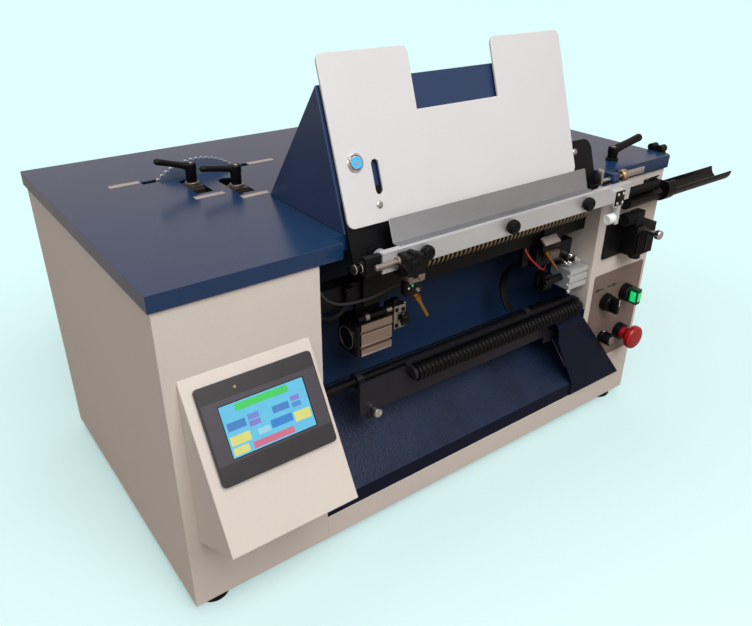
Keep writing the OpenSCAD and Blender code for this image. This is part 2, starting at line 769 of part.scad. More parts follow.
// Half pipe for the coils, its collar on the housing and the guide tubes before it
module trough() {
  color(black) {
    difference() {
      union() {
        cyl_x(tr_x0 - 3, tr_x0 + 14, tr_y, tr_z, trough_r + 1.5);
        box([tr_x0 - 2, tr_y, tr_z - 12], [tr_x0 + 12, yf, tr_z + 5]);
      }
      cyl_x(tr_x0, tr_x0 + 15, tr_y, tr_z, trough_r);
      cyl_x(tr_x0 - 4, tr_x0 + 1, tr_y, tr_z - 6, 8);
      box([tr_x0 - 4, tr_y - 30, tr_z + 11], [tr_x0 + 15, yf + 1, tr_z + 30]);
    }
    yz(tr_x0, tr_x1) translate([tr_y, tr_z]) difference() {
      circle(trough_r);
      circle(trough_r - 1.5);
      translate([-20, 0]) square([40, 20]);
    }
    cyl_x(bar_x1 + 2, tr_x0 - 2.5, tr_y, tr_z + 5.5, 5.5);
    yz(bar_x1 + 2, tr_x0 - 2.5) translate([tr_y, tr_z - 6]) difference() {
      circle(9.5);
      circle(8);
      translate([-20, 3]) square([40, 20]);
    }
  }
}

module drive_unit() {
  color(black) difference() {
    union() {
      box([cr + 16, yf - 4, lz - 126], [cr + 83, yf, lz - 73]);
      box([cr + 47, yf - 28, lz - 122], [cr + 88, yf - 3, lz - 79]);
      box([cr + 47, feed_y - 6, lz - 84], [cr + 63, feed_y + 6, feed_z + 8]);
      cyl_z(lz - 130, lz - 121, cr + 67, yf - 17, 8);
    }
    cyl_y(yf - 29, yf - 13, dknob_x, dknob_z, knob_shank_r + run);
    cyl_x(cr + 46, cr + 64, feed_y, feed_z, feed_shank_r + run);
  }
}

module drive_knob() {
  color(chrome) {
    cyl_y(yf - 46, yf - 39, dknob_x, dknob_z, 6.5);
    cyl_y(yf - 40, yf - 28 - slip, dknob_x, dknob_z, 4);
    cyl_y(yf - 29, yf - 15, dknob_x, dknob_z, knob_shank_r);
  }
}

module feed_roller() {
  color(black) {
    cyl_x(cr + 26, cr + 47 - slip, feed_y, feed_z, 9);
    cyl_x(cr + 46, cr + 63, feed_y, feed_z, feed_shank_r);
  }
}

// Clamp slide under the lid with its stud
module slide_block(x, y) {
  color(steel) {
    box([x - block_w / 2, y - 12, lz - 9], [x + block_w / 2, y + 2.5, lz]);
    cyl_z(lz - 9, lz, x, y + 2.5, block_w / 2);
    box([x - 17, y - 15, lz - 15], [x + 17, y + 15, zt - slip]);
    cyl_z(lz - 1, lz + 22, x, y, stud_r);
  }
}

// Clamp lever: post on its stud and a tapered handle; a is the rise of the handle in degrees
module lever(x, y, h, toward, a, l, k = 1) {
  color(black) difference() {
    union() {
      cyl_z(lz + slip, lz + h, x, y, 6.5);
      translate([x, y, lz + h - 5]) rotate([0, toward * (90 - a), 0]) {
        cylinder(r1 = 4.6 * k, r2 = lever_end_r * k, h = l);
        translate([0, 0, l]) sphere(r = lever_end_r * k);
      }
    }
    cyl_z(lz - 1, lz + h - 3, x, y, stud_r + run);
  }
}

module slide_block_1() {
  slide_block(b1x, b1y);
}

module slide_block_2() {
  slide_block(b2x, b2y);
}

module lever_1() {
  lever(b1x, b1y, 26, -1, 17, lever_l);
}

module lever_2() {
  lever(b2x, b2y, 26, -1, 9, lever_l);
}

// The third lever has its own stud through the lid, with a nut under it
module lever_3() {
  lever(l3x, l3y, 18, 1, 10, lever_l + 12, 1.25);
  color(black) {
    cyl_z(lz - 14, lz + 16, l3x, l3y, stud_r);
    cyl_z(lz - 14, zt - slip, l3x, l3y, 2 * stud_r);
  }
}

module index_wheel() {
  n = 72;
  color("#cfd2cf") difference() {
    union() {
      translate([wheel_x, wheel_y + 1.5, wheel_z]) rotate([90, 0, 0]) linear_extrude(3)
        polygon([for (i = [0 : 2 * n - 1]) (wheel_r - (i % 2) * 2.4) * [cos(i * 180 / n), sin(i * 180 / n)]]);
      cyl_y(wheel_y - 8, wheel_y + 8, wheel_x, wheel_z, 14);
    }
    cyl_y(wheel_y - 9, wheel_y + 9, wheel_x, wheel_z, axle_r + run);
  }
}

module wheel_stand() {
  color(steel) {
    for (s = [-19, 16])
      box([wheel_x - 20, wheel_y + s, z0 + sheet_t], [wheel_x + 20, wheel_y + s + 3, wheel_z + 16]);
    box([wheel_x - 20, wheel_y - 19, z0 + sheet_t], [wheel_x + 20, wheel_y + 19, z0 + sheet_t + 3]);
    cyl_y(wheel_y - 18, wheel_y + 18, wheel_x, wheel_z, axle_r);
  }
}

module star_knob() {
  color(black) {
    cyl_x(xr - 12, lx1 + 3, star_y, star_z, stud_r);
    cyl_x(lx1 + 2, lx1 + 14, star_y, star_z, 12);
    for (i = [0 : 5]) translate([0, star_y, star_z]) rotate([i * 60, 0, 0])
      cyl_x(lx1 + 2, lx1 + 14, 13, 0, 5);
  }
}

// Side stop: plate on a rod that slides in the lid's lug, with its thumb nut
module side_stop() {
  color(brass) {
    box([cr - 33, stop_y - 5, stop_z - stop_r], [cr - 30, stop_y + 5, lz + 10]);
    cyl_x(cr - 31, cr + 25, stop_y, stop_z, stop_r);
    cyl_x(cr + 11, cr + 21, stop_y, stop_z, stop_nut_r);
  }
}

module screws() {
  color(steel) {
    cyl_y(yf - sheet_t - 2, yf - sheet_t, cr - 7, guard_z - 7, 3.2);
    cyl_y(yf - sheet_t - 2, yf - sheet_t, cr - 7, guard_b + 37, 3.2);
    rest_plane() translate([cl + 82, 24, 0]) cylinder(r = 5, h = 2.5);
    rest_plane() translate([cr - 47, 30, -rest_t]) cylinder(r = 5, h = 2.5);
    for (x = [xl + 15, (xl + xr) / 2, xr - 15], z = [z0 + 15, zt - 45]) cyl_y(yb, yb + 1.5, x, z, 4);
  }
}

// Air line from the housing's wall to the rail, with an elbow block at each end
module air_hose() {
  color(black) {
    translate([cl + 24, yf + 18, lz - 71]) rotate([-90, 0, 0]) rotate_extrude(angle = 180)
      translate([20, 0]) circle(3);
    box([cl, yf + 13, lz - 71], [cl + 9, rail_y0, lz - 57]);
    box([cl + 39, yf + 13, lz - 71], [cl + 49, rail_y0, lz - 60]);
  }
}

// Controller, power supply and valve block on the pan, mains inlet in the rear panel
module electrics() {
  color("#3b4a3f") {
    box([cl + 95, yb - 148, z0 + sheet_t], [cl + 235, yb - 88, z0 + 102]);
    box([cl + 265, yb - 148, z0 + sheet_t], [cl + 375, yb - 98, z0 + 92]);
    box([cl + 95, yb - 58, z0 + sheet_t], [cl + 245, yb - 18, z0 + 46]);
    box([cr - 32, yb - 18, z0 + 46], [cr + 8, yb, z0 + 76]);
    box([cr - 37, yb, z0 + 41], [cr + 13, yb + 2.5, z0 + 81]);
  }
}

base_pan();
left_housing();
right_housing();
rear_panel();
lid();
hood();
backrest();
rest_bracket();
cavity_back();
tray();
end_guard();
hmi_box();
hmi_bezel();
touch_screen();
control_plate();
feet();
switch_bodies();
estop_button();
selector_knob();
lit_switch();
speed_knob();
button_cap();
carrier_tray();
clamp_bar();
pitch_comb();
bar_knob_left();
bar_knob_mid();
bar_knob_right();
stop_block();
stop_knob();
stop_rod();
guide_bracket();
nylon_roller();
cross_bars();
left_head();
left_cylinder();
left_plunger();
right_head();
right_cylinder();
right_plunger();
roller_cradle();
ribbed_roller();
cradle_knob();
trough();
drive_unit();
drive_knob();
feed_roller();
slide_block_1();
lever_1();
slide_block_2();
lever_2();
lever_3();
index_wheel();
wheel_stand();
star_knob();
side_stop();
screws();
air_hose();
electrics();
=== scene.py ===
import bpy, bmesh, json, math
from mathutils import Matrix, Vector


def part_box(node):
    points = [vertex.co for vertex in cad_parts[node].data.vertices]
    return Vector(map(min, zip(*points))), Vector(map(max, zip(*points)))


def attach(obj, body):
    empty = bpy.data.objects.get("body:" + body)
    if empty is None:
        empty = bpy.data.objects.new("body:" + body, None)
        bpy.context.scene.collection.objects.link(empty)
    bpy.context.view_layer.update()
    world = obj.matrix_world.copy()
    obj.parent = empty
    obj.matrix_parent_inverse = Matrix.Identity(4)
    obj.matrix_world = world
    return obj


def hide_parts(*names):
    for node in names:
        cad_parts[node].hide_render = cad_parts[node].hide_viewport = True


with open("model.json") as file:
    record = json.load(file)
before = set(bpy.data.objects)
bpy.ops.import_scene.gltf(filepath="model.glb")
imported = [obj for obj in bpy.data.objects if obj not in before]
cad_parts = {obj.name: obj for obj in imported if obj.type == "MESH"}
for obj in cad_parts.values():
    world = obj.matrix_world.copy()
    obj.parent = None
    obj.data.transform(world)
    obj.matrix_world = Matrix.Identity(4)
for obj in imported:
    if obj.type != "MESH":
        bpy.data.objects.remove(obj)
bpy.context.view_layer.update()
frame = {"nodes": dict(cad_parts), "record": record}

# Studio: a round pale floor that fades into a backdrop of the same colour, three soft lamps, and the eye
# of a person who stands at the machine's front left corner and looks down on it.
scene = bpy.context.scene
scene.view_settings.view_transform = "Standard"
backdrop_colour = "#e1ffff"


def linear(hex_code):
    channels = [int(hex_code[i:i + 2], 16) / 255 for i in (1, 3, 5)]
    return tuple(c / 12.92 if c < 0.04045 else ((c + 0.055) / 1.055) ** 2.4 for c in channels) + (1.0,)


def put(tree, kind, links=None, **settings):
    """Adds one node with its settings; each link is a socket to join or a constant to set."""
    node = tree.nodes.new(kind)
    for key, value in settings.items():
        setattr(node, key, value)
    for key, value in (links or {}).items():
        if isinstance(value, bpy.types.NodeSocket):
            tree.links.new(value, node.inputs[key])
        else:
            node.inputs[key].default_value = value
    return node


eye = Vector((-0.5759, -0.699425, 0.6542))
eye_right = Vector((0.80491065, -0.59335343, 0.00711031))
eye_down = Vector((-0.27549694, -0.38428307, -0.8811515))
eye_ahead = Vector((0.52556664, 0.70728935, -0.47278059))
picture_width, focal_pixels = 752.0, 712.286
camera = bpy.data.objects.new("camera", bpy.data.cameras.new("camera"))
camera.data.sensor_width = 36.0
camera.data.sensor_fit = "HORIZONTAL"
camera.data.lens = camera.data.sensor_width * focal_pixels / picture_width
camera.data.clip_start = 0.02
turn = Matrix((eye_right, -eye_down, -eye_ahead)).transposed().to_4x4()
camera.matrix_world = Matrix.Translation(eye) @ turn
scene.collection.objects.link(camera)
scene.camera = camera

world = bpy.data.worlds.new("studio")
scene.world = world
world.use_nodes = True
sky = world.node_tree
sky.nodes.clear()
rays = put(sky, "ShaderNodeLightPath")
mirrored = put(sky, "ShaderNodeMath", {0: rays.outputs["Is Glossy Ray"], 1: rays.outputs["Is Transmission Ray"]},
               operation="MAXIMUM")
fill = put(sky, "ShaderNodeBackground", {"Color": linear("#f6efe8"), "Strength": 0.34})
sheen = put(sky, "ShaderNodeBackground", {"Color": linear("#f4e6da"), "Strength": 0.7})
pale = put(sky, "ShaderNodeBackground", {"Color": linear(backdrop_colour), "Strength": 1.0})
either = put(sky, "ShaderNodeMixShader", {0: mirrored.outputs[0], 1: fill.outputs[0], 2: sheen.outputs[0]})
shown = put(sky, "ShaderNodeMixShader",
    {0: rays.outputs["Is Camera Ray"], 1: either.outputs[0], 2: pale.outputs[0]})
put(sky, "ShaderNodeOutputWorld", {"Surface": shown.outputs[0]})

for name, spot, aim, size, watts in (
        ("front_lamp", (-0.3, -1.5, 1.8), (-0.15, -0.1, 0.25), 1.3, 36.0),
        ("top_lamp", (0.1, 0.7, 2.3), (0.0, 0.0, 0.3), 1.8, 12.0),
        ("left_lamp", (-2.2, -0.6, 1.5), (-0.2, 0.0, 0.25), 1.2, 9.0)):
    lamp = bpy.data.objects.new(name, bpy.data.lights.new(name, "AREA"))
    lamp.data.size = size
    lamp.data.energy = watts
    lamp.location = spot
    lamp.rotation_euler = (Vector(aim) - Vector(spot)).to_track_quat("-Z", "Y").to_euler()
    scene.collection.objects.link(lamp)

floor_radius, fade_from, fade_to, near_glow = 3.0, 0.45, 1.0, 0.35
floor_form = bmesh.new()
bmesh.ops.create_circle(floor_form, cap_ends=True, segments=96, radius=floor_radius)
floor_mesh = bpy.data.meshes.new("floor")
floor_form.to_mesh(floor_mesh)
floor = bpy.data.objects.new("floor", floor_mesh)
scene.collection.objects.link(floor)
paper = bpy.data.materials.new("matt_backdrop_paper")
paper.use_nodes = True
tree = paper.node_tree
matt = tree.nodes["Principled BSDF"]
matt.inputs["Roughness"].default_value = 0.95
matt.inputs["Specular IOR Level"].default_value = 0.1
where = put(tree, "ShaderNodeTexCoord")
rays = put(tree, "ShaderNodeLightPath")
bounce = put(tree, "ShaderNodeMix",
    {0: rays.outputs["Is Camera Ray"], 6: linear("#aca39a"), 7: linear(backdrop_colour)},
             data_type="RGBA")
tree.links.new(bounce.outputs[2], matt.inputs["Base Color"])
reach = put(tree, "ShaderNodeVectorMath", {0: where.outputs["Object"]}, operation="LENGTH")
far = put(tree, "ShaderNodeMapRange", {"Value": reach.outputs["Value"], "From Min": fade_from, "From Max": fade_to,
                                       "To Min": near_glow}, interpolation_type="SMOOTHSTEP")
shown = put(tree, "ShaderNodeMath", {0: rays.outputs["Is Camera Ray"], 1: rays.outputs["Is Glossy Ray"]},
    operation="MAXIMUM")
shine = put(tree, "ShaderNodeMapRange", {"Value": shown.outputs[0], "To Min": 0.25})
glow = put(tree, "ShaderNodeEmission", {"Color": bounce.outputs[2], "Strength": shine.outputs[0]})
fade = put(tree, "ShaderNodeMixShader", {0: far.outputs[0], 1: matt.outputs[0], 2: glow.outputs[0]})
tree.links.new(fade.outputs[0], tree.nodes["Material Output"].inputs["Surface"])
floor_mesh.materials.append(paper)

# Base pan: a folded cream tray of 2 mm sheet with an upright strip under the cavity, closed from below.
# Powder coat gives the eye a soft sheen over an orange peel of about 1 mm, drawn at 2 mm so that it shows.
mm = 0.001
record = frame["record"]
carried_by = {node: body for body, members in record["behaviour"]["bodies"].items() for node in members}
left_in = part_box("left_housing")[1].x
right_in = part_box("right_housing")[0].x
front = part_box("left_housing")[0].y
lid_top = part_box("lid")[1].z


def left(x, y, z):
    """A point in millimetres from the cavity's left wall, the front walls and the lid's top."""
    return Vector((left_in + x * mm, front + y * mm, lid_top + z * mm))


def right(x, y, z):
    """The same from the cavity's right wall."""
    return Vector((right_in + x * mm, front + y * mm, lid_top + z * mm))


def coat(name, colour, roughness, grain, depth, patch=0.04, metallic=0.0, stretch=(1, 1, 1), **shader_values):
    """A finish whose surface has a fine grain (size and depth in mm) and slow patches of shade."""
    made = bpy.data.materials.new(name)
    made.use_nodes = True
    tree = made.node_tree
    shader = tree.nodes["Principled BSDF"]
    shader.inputs["Metallic"].default_value = metallic
    for key, value in shader_values.items():
        shader.inputs[key.replace("_", " ")].default_value = value
    place = put(tree, "ShaderNodeTexCoord")
    along = put(tree, "ShaderNodeMapping", {"Vector": place.outputs["Object"], "Scale": stretch})
    fine = put(tree, "ShaderNodeTexNoise", {"Vector": along.outputs[0], "Scale": 1 / (grain * mm), "Detail": 2.0})
    slow = put(tree, "ShaderNodeTexNoise",
        {"Vector": place.outputs["Object"], "Scale": 1 / (70 * mm), "Detail": 3.0})
    both = put(tree, "ShaderNodeMath", {0: slow.outputs[0], 1: fine.outputs[0]}, operation="ADD")
    share = put(tree, "ShaderNodeMapRange", {"Value": both.outputs[0], "From Min": 0.6, "From Max": 1.4})
    base = linear(colour)
    dark = tuple(c * (1 - patch) for c in base[:3]) + (1.0,)
    light = tuple(min(1.0, c * (1 + patch)) for c in base[:3]) + (1.0,)
    tone = put(tree, "ShaderNodeMix", {0: share.outputs[0], 6: dark, 7: light}, data_type="RGBA")
    tree.links.new(tone.outputs[2], shader.inputs["Base Color"])
    dull = put(tree, "ShaderNodeMapRange", {"Value": slow.outputs[0], "From Min": 0.3, "From Max": 0.7,
                                           "To Min": roughness * 0.88, "To Max": roughness * 1.12})
    tree.links.new(dull.outputs[0], shader.inputs["Roughness"])
    relief = put(tree, "ShaderNodeBump", {"Height": fine.outputs[0], "Distance": depth * mm})
    tree.links.new(relief.outputs[0], shader.inputs["Normal"])
    return made


def settle(piece, stands_for, body):
    """Puts a piece on the body that carries it and hides the nodes it stands for."""
    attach(piece, body or carried_by[stands_for[0]])
    if stands_for:
        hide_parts(*stands_for)
    return piece


def make(name, form, finishes, stands_for=(), body=None, crease=28):
    """Turns a form into a piece that rides on its body and takes the place of its nodes."""
    mesh = bpy.data.meshes.new(name)
    form.normal_update()
    form.to_mesh(mesh)
    form.free()
    mesh.shade_smooth()
    mesh.set_sharp_from_angle(angle=math.radians(crease))
    for finish in finishes:
        mesh.materials.append(finish)
    piece = bpy.data.objects.new(name, mesh)
    scene.collection.objects.link(piece)
    return settle(piece, stands_for, body)


def soften(node, finish, radius, steps=2, flat_area=25):
    """A copy of a CAD node in its place: flat faces joined and kept flat, sharp edges rounded."""
    form = bmesh.new()
    form.from_mesh(frame["nodes"][node].data)
    bmesh.ops.remove_doubles(form, verts=form.verts, dist=0.002 * mm)
    bmesh.ops.dissolve_limit(form, angle_limit=math.radians(1), verts=form.verts, edges=form.edges)
    sharp = [e for e in form.edges if len(e.link_faces) == 2 and e.calc_face_angle() > math.radians(35)]
    bmesh.ops.bevel(form, geom=sharp, offset=radius * mm, segments=steps, profile=0.5, affect="EDGES",
                    clamp_overlap=True)
    piece = make(node + "_made", form, [finish], [node], crease=20)
    normals = [corner.vector.copy() for corner in piece.data.corner_normals]
    for face in piece.data.polygons:
        if face.area > flat_area * mm * mm:
            for corner in face.loop_indices:
                normals[corner] = face.normal.copy()
    piece.data.normals_split_custom_set(normals)
    return piece


cream = coat("cream_powder_coat", "#d8cec5", 0.42, 2.0, 0.03, patch=0.025)
soften("base_pan", cream, 0.5)

# Feet: four turned rubber feet screwed to the pan, each with a waist, a rounded tread and a sunk screw.
# Moulded rubber looks dull and almost black, with a fine grit.
rubber = coat("moulded_rubber", "#0d0d0e", 0.75, 0.8, 0.04, Specular_IOR_Level=0.15)


def turned(form, start, along, profile, finish=0, sides=40, hollow=False):
    """Adds a body turned about an axis: the profile is (distance, radius) in mm along it."""
    along = Vector(along).normalized()
    across = along.orthogonal().normalized()
    other = along.cross(across)
    rings = []
    for distance, radius in profile:
        centre = Vector(start) + along * distance * mm
        angles = [2 * math.pi * i / sides for i in range(sides)] if radius else [0]
        rings.append([form.verts.new(centre + (across * math.cos(a) + other * math.sin(a)) * radius * mm)
                      for a in angles])
    pairs = list(zip(rings, rings[1:])) + ([(rings[-1], rings[0])] if hollow else [])
    for near, away in pairs:
        for i in range(sides):
            j = (i + 1) % sides
            ring = (near[j % len(near)], near[i % len(near)], away[i % len(away)], away[j % len(away)])
            corners = list(dict.fromkeys(ring))
            if len(corners) > 2:
                form.faces.new(corners).material_index = finish
    for ring in () if hollow else (rings[0], rings[-1][::-1]):
        if len(ring) > 1:
            form.faces.new(ring).material_index = finish
    return form


def placed(tree, name, inputs, stands_for=(), body=None, base=None):
    """Runs a node tree on a piece once and keeps the plain mesh."""
    piece = bpy.data.objects.new(name, base or bpy.data.meshes.new(name))
    scene.collection.objects.link(piece)
    maker = piece.modifiers.new("maker", "NODES")
    maker.node_group = tree
    for item in tree.interface.items_tree:
        if item.in_out == "INPUT" and item.name in inputs:
            maker[item.identifier] = inputs[item.name]
    ready = piece.evaluated_get(bpy.context.evaluated_depsgraph_get())
    plain = bpy.data.meshes.new_from_object(ready)
    piece.modifiers.clear()
    piece.data = plain
    plain.name = name
    plain.shade_smooth()
    plain.set_sharp_from_angle(angle=math.radians(28))
    return settle(piece, stands_for, body)


def pattern(name, form):
    """The one piece that a node tree repeats; it is never shown itself."""
    mesh = bpy.data.meshes.new(name)
    form.to_mesh(mesh)
    form.free()
    return bpy.data.objects.new(name, mesh)


def begin_tree(name, sockets):
    """Starts a node tree with these inputs and one geometry output."""
    tree = bpy.data.node_groups.new(name, "GeometryNodeTree")
    for title, kind in sockets:
        tree.interface.new_socket(title, in_out="INPUT", socket_type="NodeSocket" + kind)
    tree.interface.new_socket("Geometry", in_out="OUTPUT", socket_type="NodeSocketGeometry")
    return tree, put(tree, "NodeGroupInput")


def end_tree(tree, given, points, rotation):
    """Ends a node tree: the piece on every point, made plain geometry with its finish."""
    one = put(tree, "GeometryNodeObjectInfo", {"Object": given.outputs["Piece"]})
    spread = put(tree, "GeometryNodeInstanceOnPoints", {
        "Points": points, "Instance": one.outputs["Geometry"], "Rotation": rotation.outputs[0]})
    solid = put(tree, "GeometryNodeRealizeInstances", {"Geometry": spread.outputs[0]})
    dressed = put(tree, "GeometryNodeSetMaterial", {
        "Geometry": solid.outputs[0], "Material": given.outputs["Finish"]})
    put(tree, "NodeGroupOutput", {"Geometry": dressed.outputs[0]})


points_tree, given = begin_tree("piece_on_each_point", (
    ("Points", "Geometry"), ("Piece", "Object"), ("Finish", "Material")))
facing = put(points_tree, "GeometryNodeInputNamedAttribute", {"Name": "facing"}, data_type="FLOAT_VECTOR")
aligned = put(points_tree, "FunctionNodeAlignRotationToVector", {"Vector": facing.outputs[0]}, axis="Z")
end_tree(points_tree, given, given.outputs["Points"], aligned)


def points_mesh(name, places):
    """A mesh of bare points, each with the direction in which its piece faces."""
    mesh = bpy.data.meshes.new(name)
    mesh.from_pydata([spot for spot, way in places], [], [])
    ways = mesh.attributes.new("facing", "FLOAT_VECTOR", "POINT")
    for entry, (spot, way) in zip(ways.data, places):
        entry.vector = way
    return mesh


foot_low, foot_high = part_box("feet")
foot_r = 19.5
foot_h = (foot_high.z - foot_low.z) / mm
foot = turned(bmesh.new(), (0, 0, 0), (0, 0, -1), (
    (0, foot_r - 3), (1.2, foot_r - 2.2), (3, foot_r - 2), (4.2, foot_r - 0.6), (5.5, foot_r), (foot_h - 3, foot_r),
    (foot_h - 1.2, foot_r - 0.7), (foot_h - 0.3, foot_r - 2), (foot_h, foot_r - 3.5), (foot_h, 6),
    (foot_h - 3, 5.5),
    (foot_h - 3, 0)))
inset = Vector((foot_r * mm, foot_r * mm, 0))
feet_low, feet_high = foot_low + inset, foot_high - inset
corners = [((x, y, foot_high.z), (0, 0, 1)) for x in (feet_low.x, feet_high.x) for y in (feet_low.y, feet_high.y)]
placed(points_tree, "rubber_feet", {"Piece": pattern("foot", foot), "Finish": rubber}, ["feet"],
       base=points_mesh("foot_points", corners))

# Housings: two cream boxes of folded 2 mm sheet, left and right of the cavity, and the rear panel with
# its air slots. The sheets' folds are rounded and the panel is screwed on.
for node in ("left_housing", "right_housing", "rear_panel"):
    soften(node, cream, 0.8)

# Louvre hoods: pressed out of the rear panel over each air slot, open to below, cream like the panel.
# Each is one outline drawn out along its slot and repeated at the slots' pitch by a node tree.
row_tree, given = begin_tree("piece_repeated", (
    ("Piece", "Object"), ("Count", "Int"), ("Start", "Vector"), ("Step", "Vector"), ("Turn", "Vector"),
    ("Finish", "Material")))
line = put(row_tree, "GeometryNodeMeshLine", {
    "Count": given.outputs["Count"], "Start Location": given.outputs["Start"], "Offset": given.outputs["Step"]},
    mode="OFFSET")
order = put(row_tree, "GeometryNodeInputIndex")
swing = put(row_tree, "ShaderNodeVectorMath", {0: given.outputs["Turn"], "Scale": order.outputs[0]},
    operation="SCALE")
rotation = put(row_tree, "FunctionNodeEulerToRotation", {0: swing.outputs[0]})
end_tree(row_tree, given, line.outputs[0], rotation)


def drawn(form, outline, along, finish=0):
    """Adds an outline of points (in metres) drawn out by a vector, with closed ends."""
    near = [form.verts.new(p) for p in outline]
    away = [form.verts.new(Vector(p) + Vector(along)) for p in outline]
    for i in range(len(near)):
        j = (i + 1) % len(near)
        form.faces.new((near[i], near[j], away[j], away[i])).material_index = finish
    form.faces.new(near[::-1]).material_index = finish
    form.faces.new(away).material_index = finish
    bmesh.ops.recalc_face_normals(form, faces=form.faces)
    return form


panel_low, panel_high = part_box("rear_panel")
hood_w, hood_out, hood_step, hood_count = 92, 2.4, 14, 8
hood_outline = [(0, y * mm, z * mm) for y,
    z in ((-0.2, 0), (hood_out, 0), (hood_out, 0.8), (1.9, 3.4), (1.0, 5.8), (-0.2, 7.4))]
for side, start in (("left", 149), ("right", 475)):
    hood_form = drawn(bmesh.new(), hood_outline, (hood_w * mm, 0, 0))
    placed(row_tree, "louvres_" + side, {
        "Piece": pattern("louvre", hood_form), "Count": hood_count, "Step": (0, 0, hood_step * mm), "Finish": cream,
        "Start": (panel_low.x + start * mm, panel_high.y, panel_low.z + 200 * mm)}, body="machine")

# Mains inlet and inner boxes: a black inlet with three pins sunk in the rear panel, and the controller, the
# power supply and the valve block on the pan. Device cases are plain lacquered sheet with folded edges.
case_grey = coat("lacquered_case", "#4d5a52", 0.45, 1.5, 0.03)
black_plastic = coat("black_moulded_plastic", "#0a0a0b", 0.36, 1.2, 0.03, patch=0.08, Specular_IOR_Level=0.17)
steel = coat("bright_steel", "#b9b8b6", 0.3, 0.6, 0.01, patch=0.06, metallic=1.0)


def join(form, made, finish=0, place=Matrix()):
    """Adds one form to another, with its finish."""
    spots = {v: form.verts.new(place @ v.co) for v in made.verts}
    for face in made.faces:
        form.faces.new([spots[v] for v in face.verts]).material_index = finish
    made.free()
    return form


def block(form, low, high, rounding, finish=0, place=Matrix()):
    """Adds a block between two corners with its edges rounded by that many mm."""
    low, high = Vector(low), Vector(high)
    made = bmesh.new()
    bmesh.ops.create_cube(made, size=1)
    for v in made.verts:
        v.co = Vector([low[i] + (v.co[i] + 0.5) * (high[i] - low[i]) for i in range(3)])
    bmesh.ops.bevel(made, geom=list(made.edges), offset=rounding * mm, segments=2, profile=0.5, affect="EDGES")
    bmesh.ops.recalc_face_normals(made, faces=made.faces)
    return join(form, made, finish, place)


rear = panel_high.y
pan_z = foot_high.z
inner = bmesh.new()
for x0, x1, y0, y1, z1 in ((95, 235, -148, -88, 102), (265, 375, -148, -98, 92), (95, 245, -58, -18, 46)):
    block(inner, (left_in + x0 * mm, rear + (y0 - 2) * mm, pan_z + 2 * mm),
          (left_in + x1 * mm, rear + (y1 - 2) * mm, pan_z + z1 * mm), 2.0)
    for i in range(8):
        start = x0 + 14 + i * (x1 - x0 - 36) / 7
        block(inner, (left_in + start * mm, rear + (y0 + 4) * mm, pan_z + (z1 - 0.5) * mm),
              (left_in + (start + 6) * mm, rear + (y1 - 8) * mm, pan_z + (z1 + 1.5) * mm), 0.4)
inlet_x, inlet_z = right_in - 12 * mm, pan_z + 61 * mm
inlet_y = rear + 0.2 * mm
for x0, x1, z0, z1 in ((-25, 25, 13, 20), (-25, 25, -20, -13), (-25, -17, -13, 13), (17, 25, -13, 13)):
    block(inner, (inlet_x + x0 * mm, inlet_y - 1 * mm, inlet_z + z0 * mm),
          (inlet_x + x1 * mm, inlet_y + 2.2 * mm, inlet_z + z1 * mm), 0.5, 1)
block(inner, (inlet_x - 19 * mm, inlet_y - 17 * mm, inlet_z - 14.5 * mm),
      (inlet_x + 19 * mm, inlet_y - 14 * mm, inlet_z + 14.5 * mm), 0.5, 1)
for x, z in ((-7, 2), (7, 2), (0, -3)):
    block(inner, (inlet_x + (x - 1) * mm, inlet_y - 14.5 * mm, inlet_z + (z - 3) * mm),
          (inlet_x + (x + 1) * mm, inlet_y - 2 * mm, inlet_z + (z + 3) * mm), 0.4, 2)
for x in (-20.5, 20.5):
    turned(inner, (inlet_x + x * mm, inlet_y + 2 * mm, inlet_z), (0, 1, 0), ((0, 2.6), (0.5, 2.2), (0.5, 0)), 2, 16)
make("electrics_made", inner, [case_grey, black_plastic, steel], ["electrics"])
soften("wheel_stand", steel, 0.4)

# Tray, cavity back, side liner and end guard: folded navy sheet. The tray's coarse wrinkle coat of about 2 mm
# breaks its reflections into small sparks; the back and liner are smooth and the guard is dull. The guard's navy
# is darkened as painted shade, and the tray's front-facing lip takes the same dark navy as a painted shadow.
wrinkle = coat("navy_wrinkle_coat", "#1b2841", 0.3, 2.0, 0.8, patch=0.5, Specular_IOR_Level=0.2)
smooth_navy = coat("navy_smooth_coat", "#192d4b", 0.4, 3.0, 0.03, Specular_IOR_Level=0.15)
hammer = coat("navy_hammer_coat", "#24395d", 0.34, 2.6, 0.10, patch=0.05, Specular_IOR_Level=0.42)
# Navy with painted shade: the guard's own navy made darker for the shade it stands in, also used on the tray's lip.
navy_with_painted_shade = coat("navy_coat_with_painted_shade", "#12192b", 0.42, 2.6, 0.08, patch=0.06, Specular_IOR_Level=0.06)
tray = soften("tray", wrinkle, 0.8)
tray.data.materials.append(navy_with_painted_shade)
# The tray's front-facing faces take that darker navy: a painted shadow on its lip.
for face in tray.data.polygons:
    face.material_index = 1 if face.normal.y < -0.8 else 0
side_sheet = [right(-0.7, y, z) for y, z in ((1, -319), (88, -226), (88, -130), (40, -130), (32, -186), (1, -200))]
make("wall_liner", drawn(bmesh.new(), side_sheet, (0.6 * mm, 0, 0)), [smooth_navy], body="machine")
soften("cavity_back", smooth_navy, 0.5)
soften("end_guard", navy_with_painted_shade, 0.5)

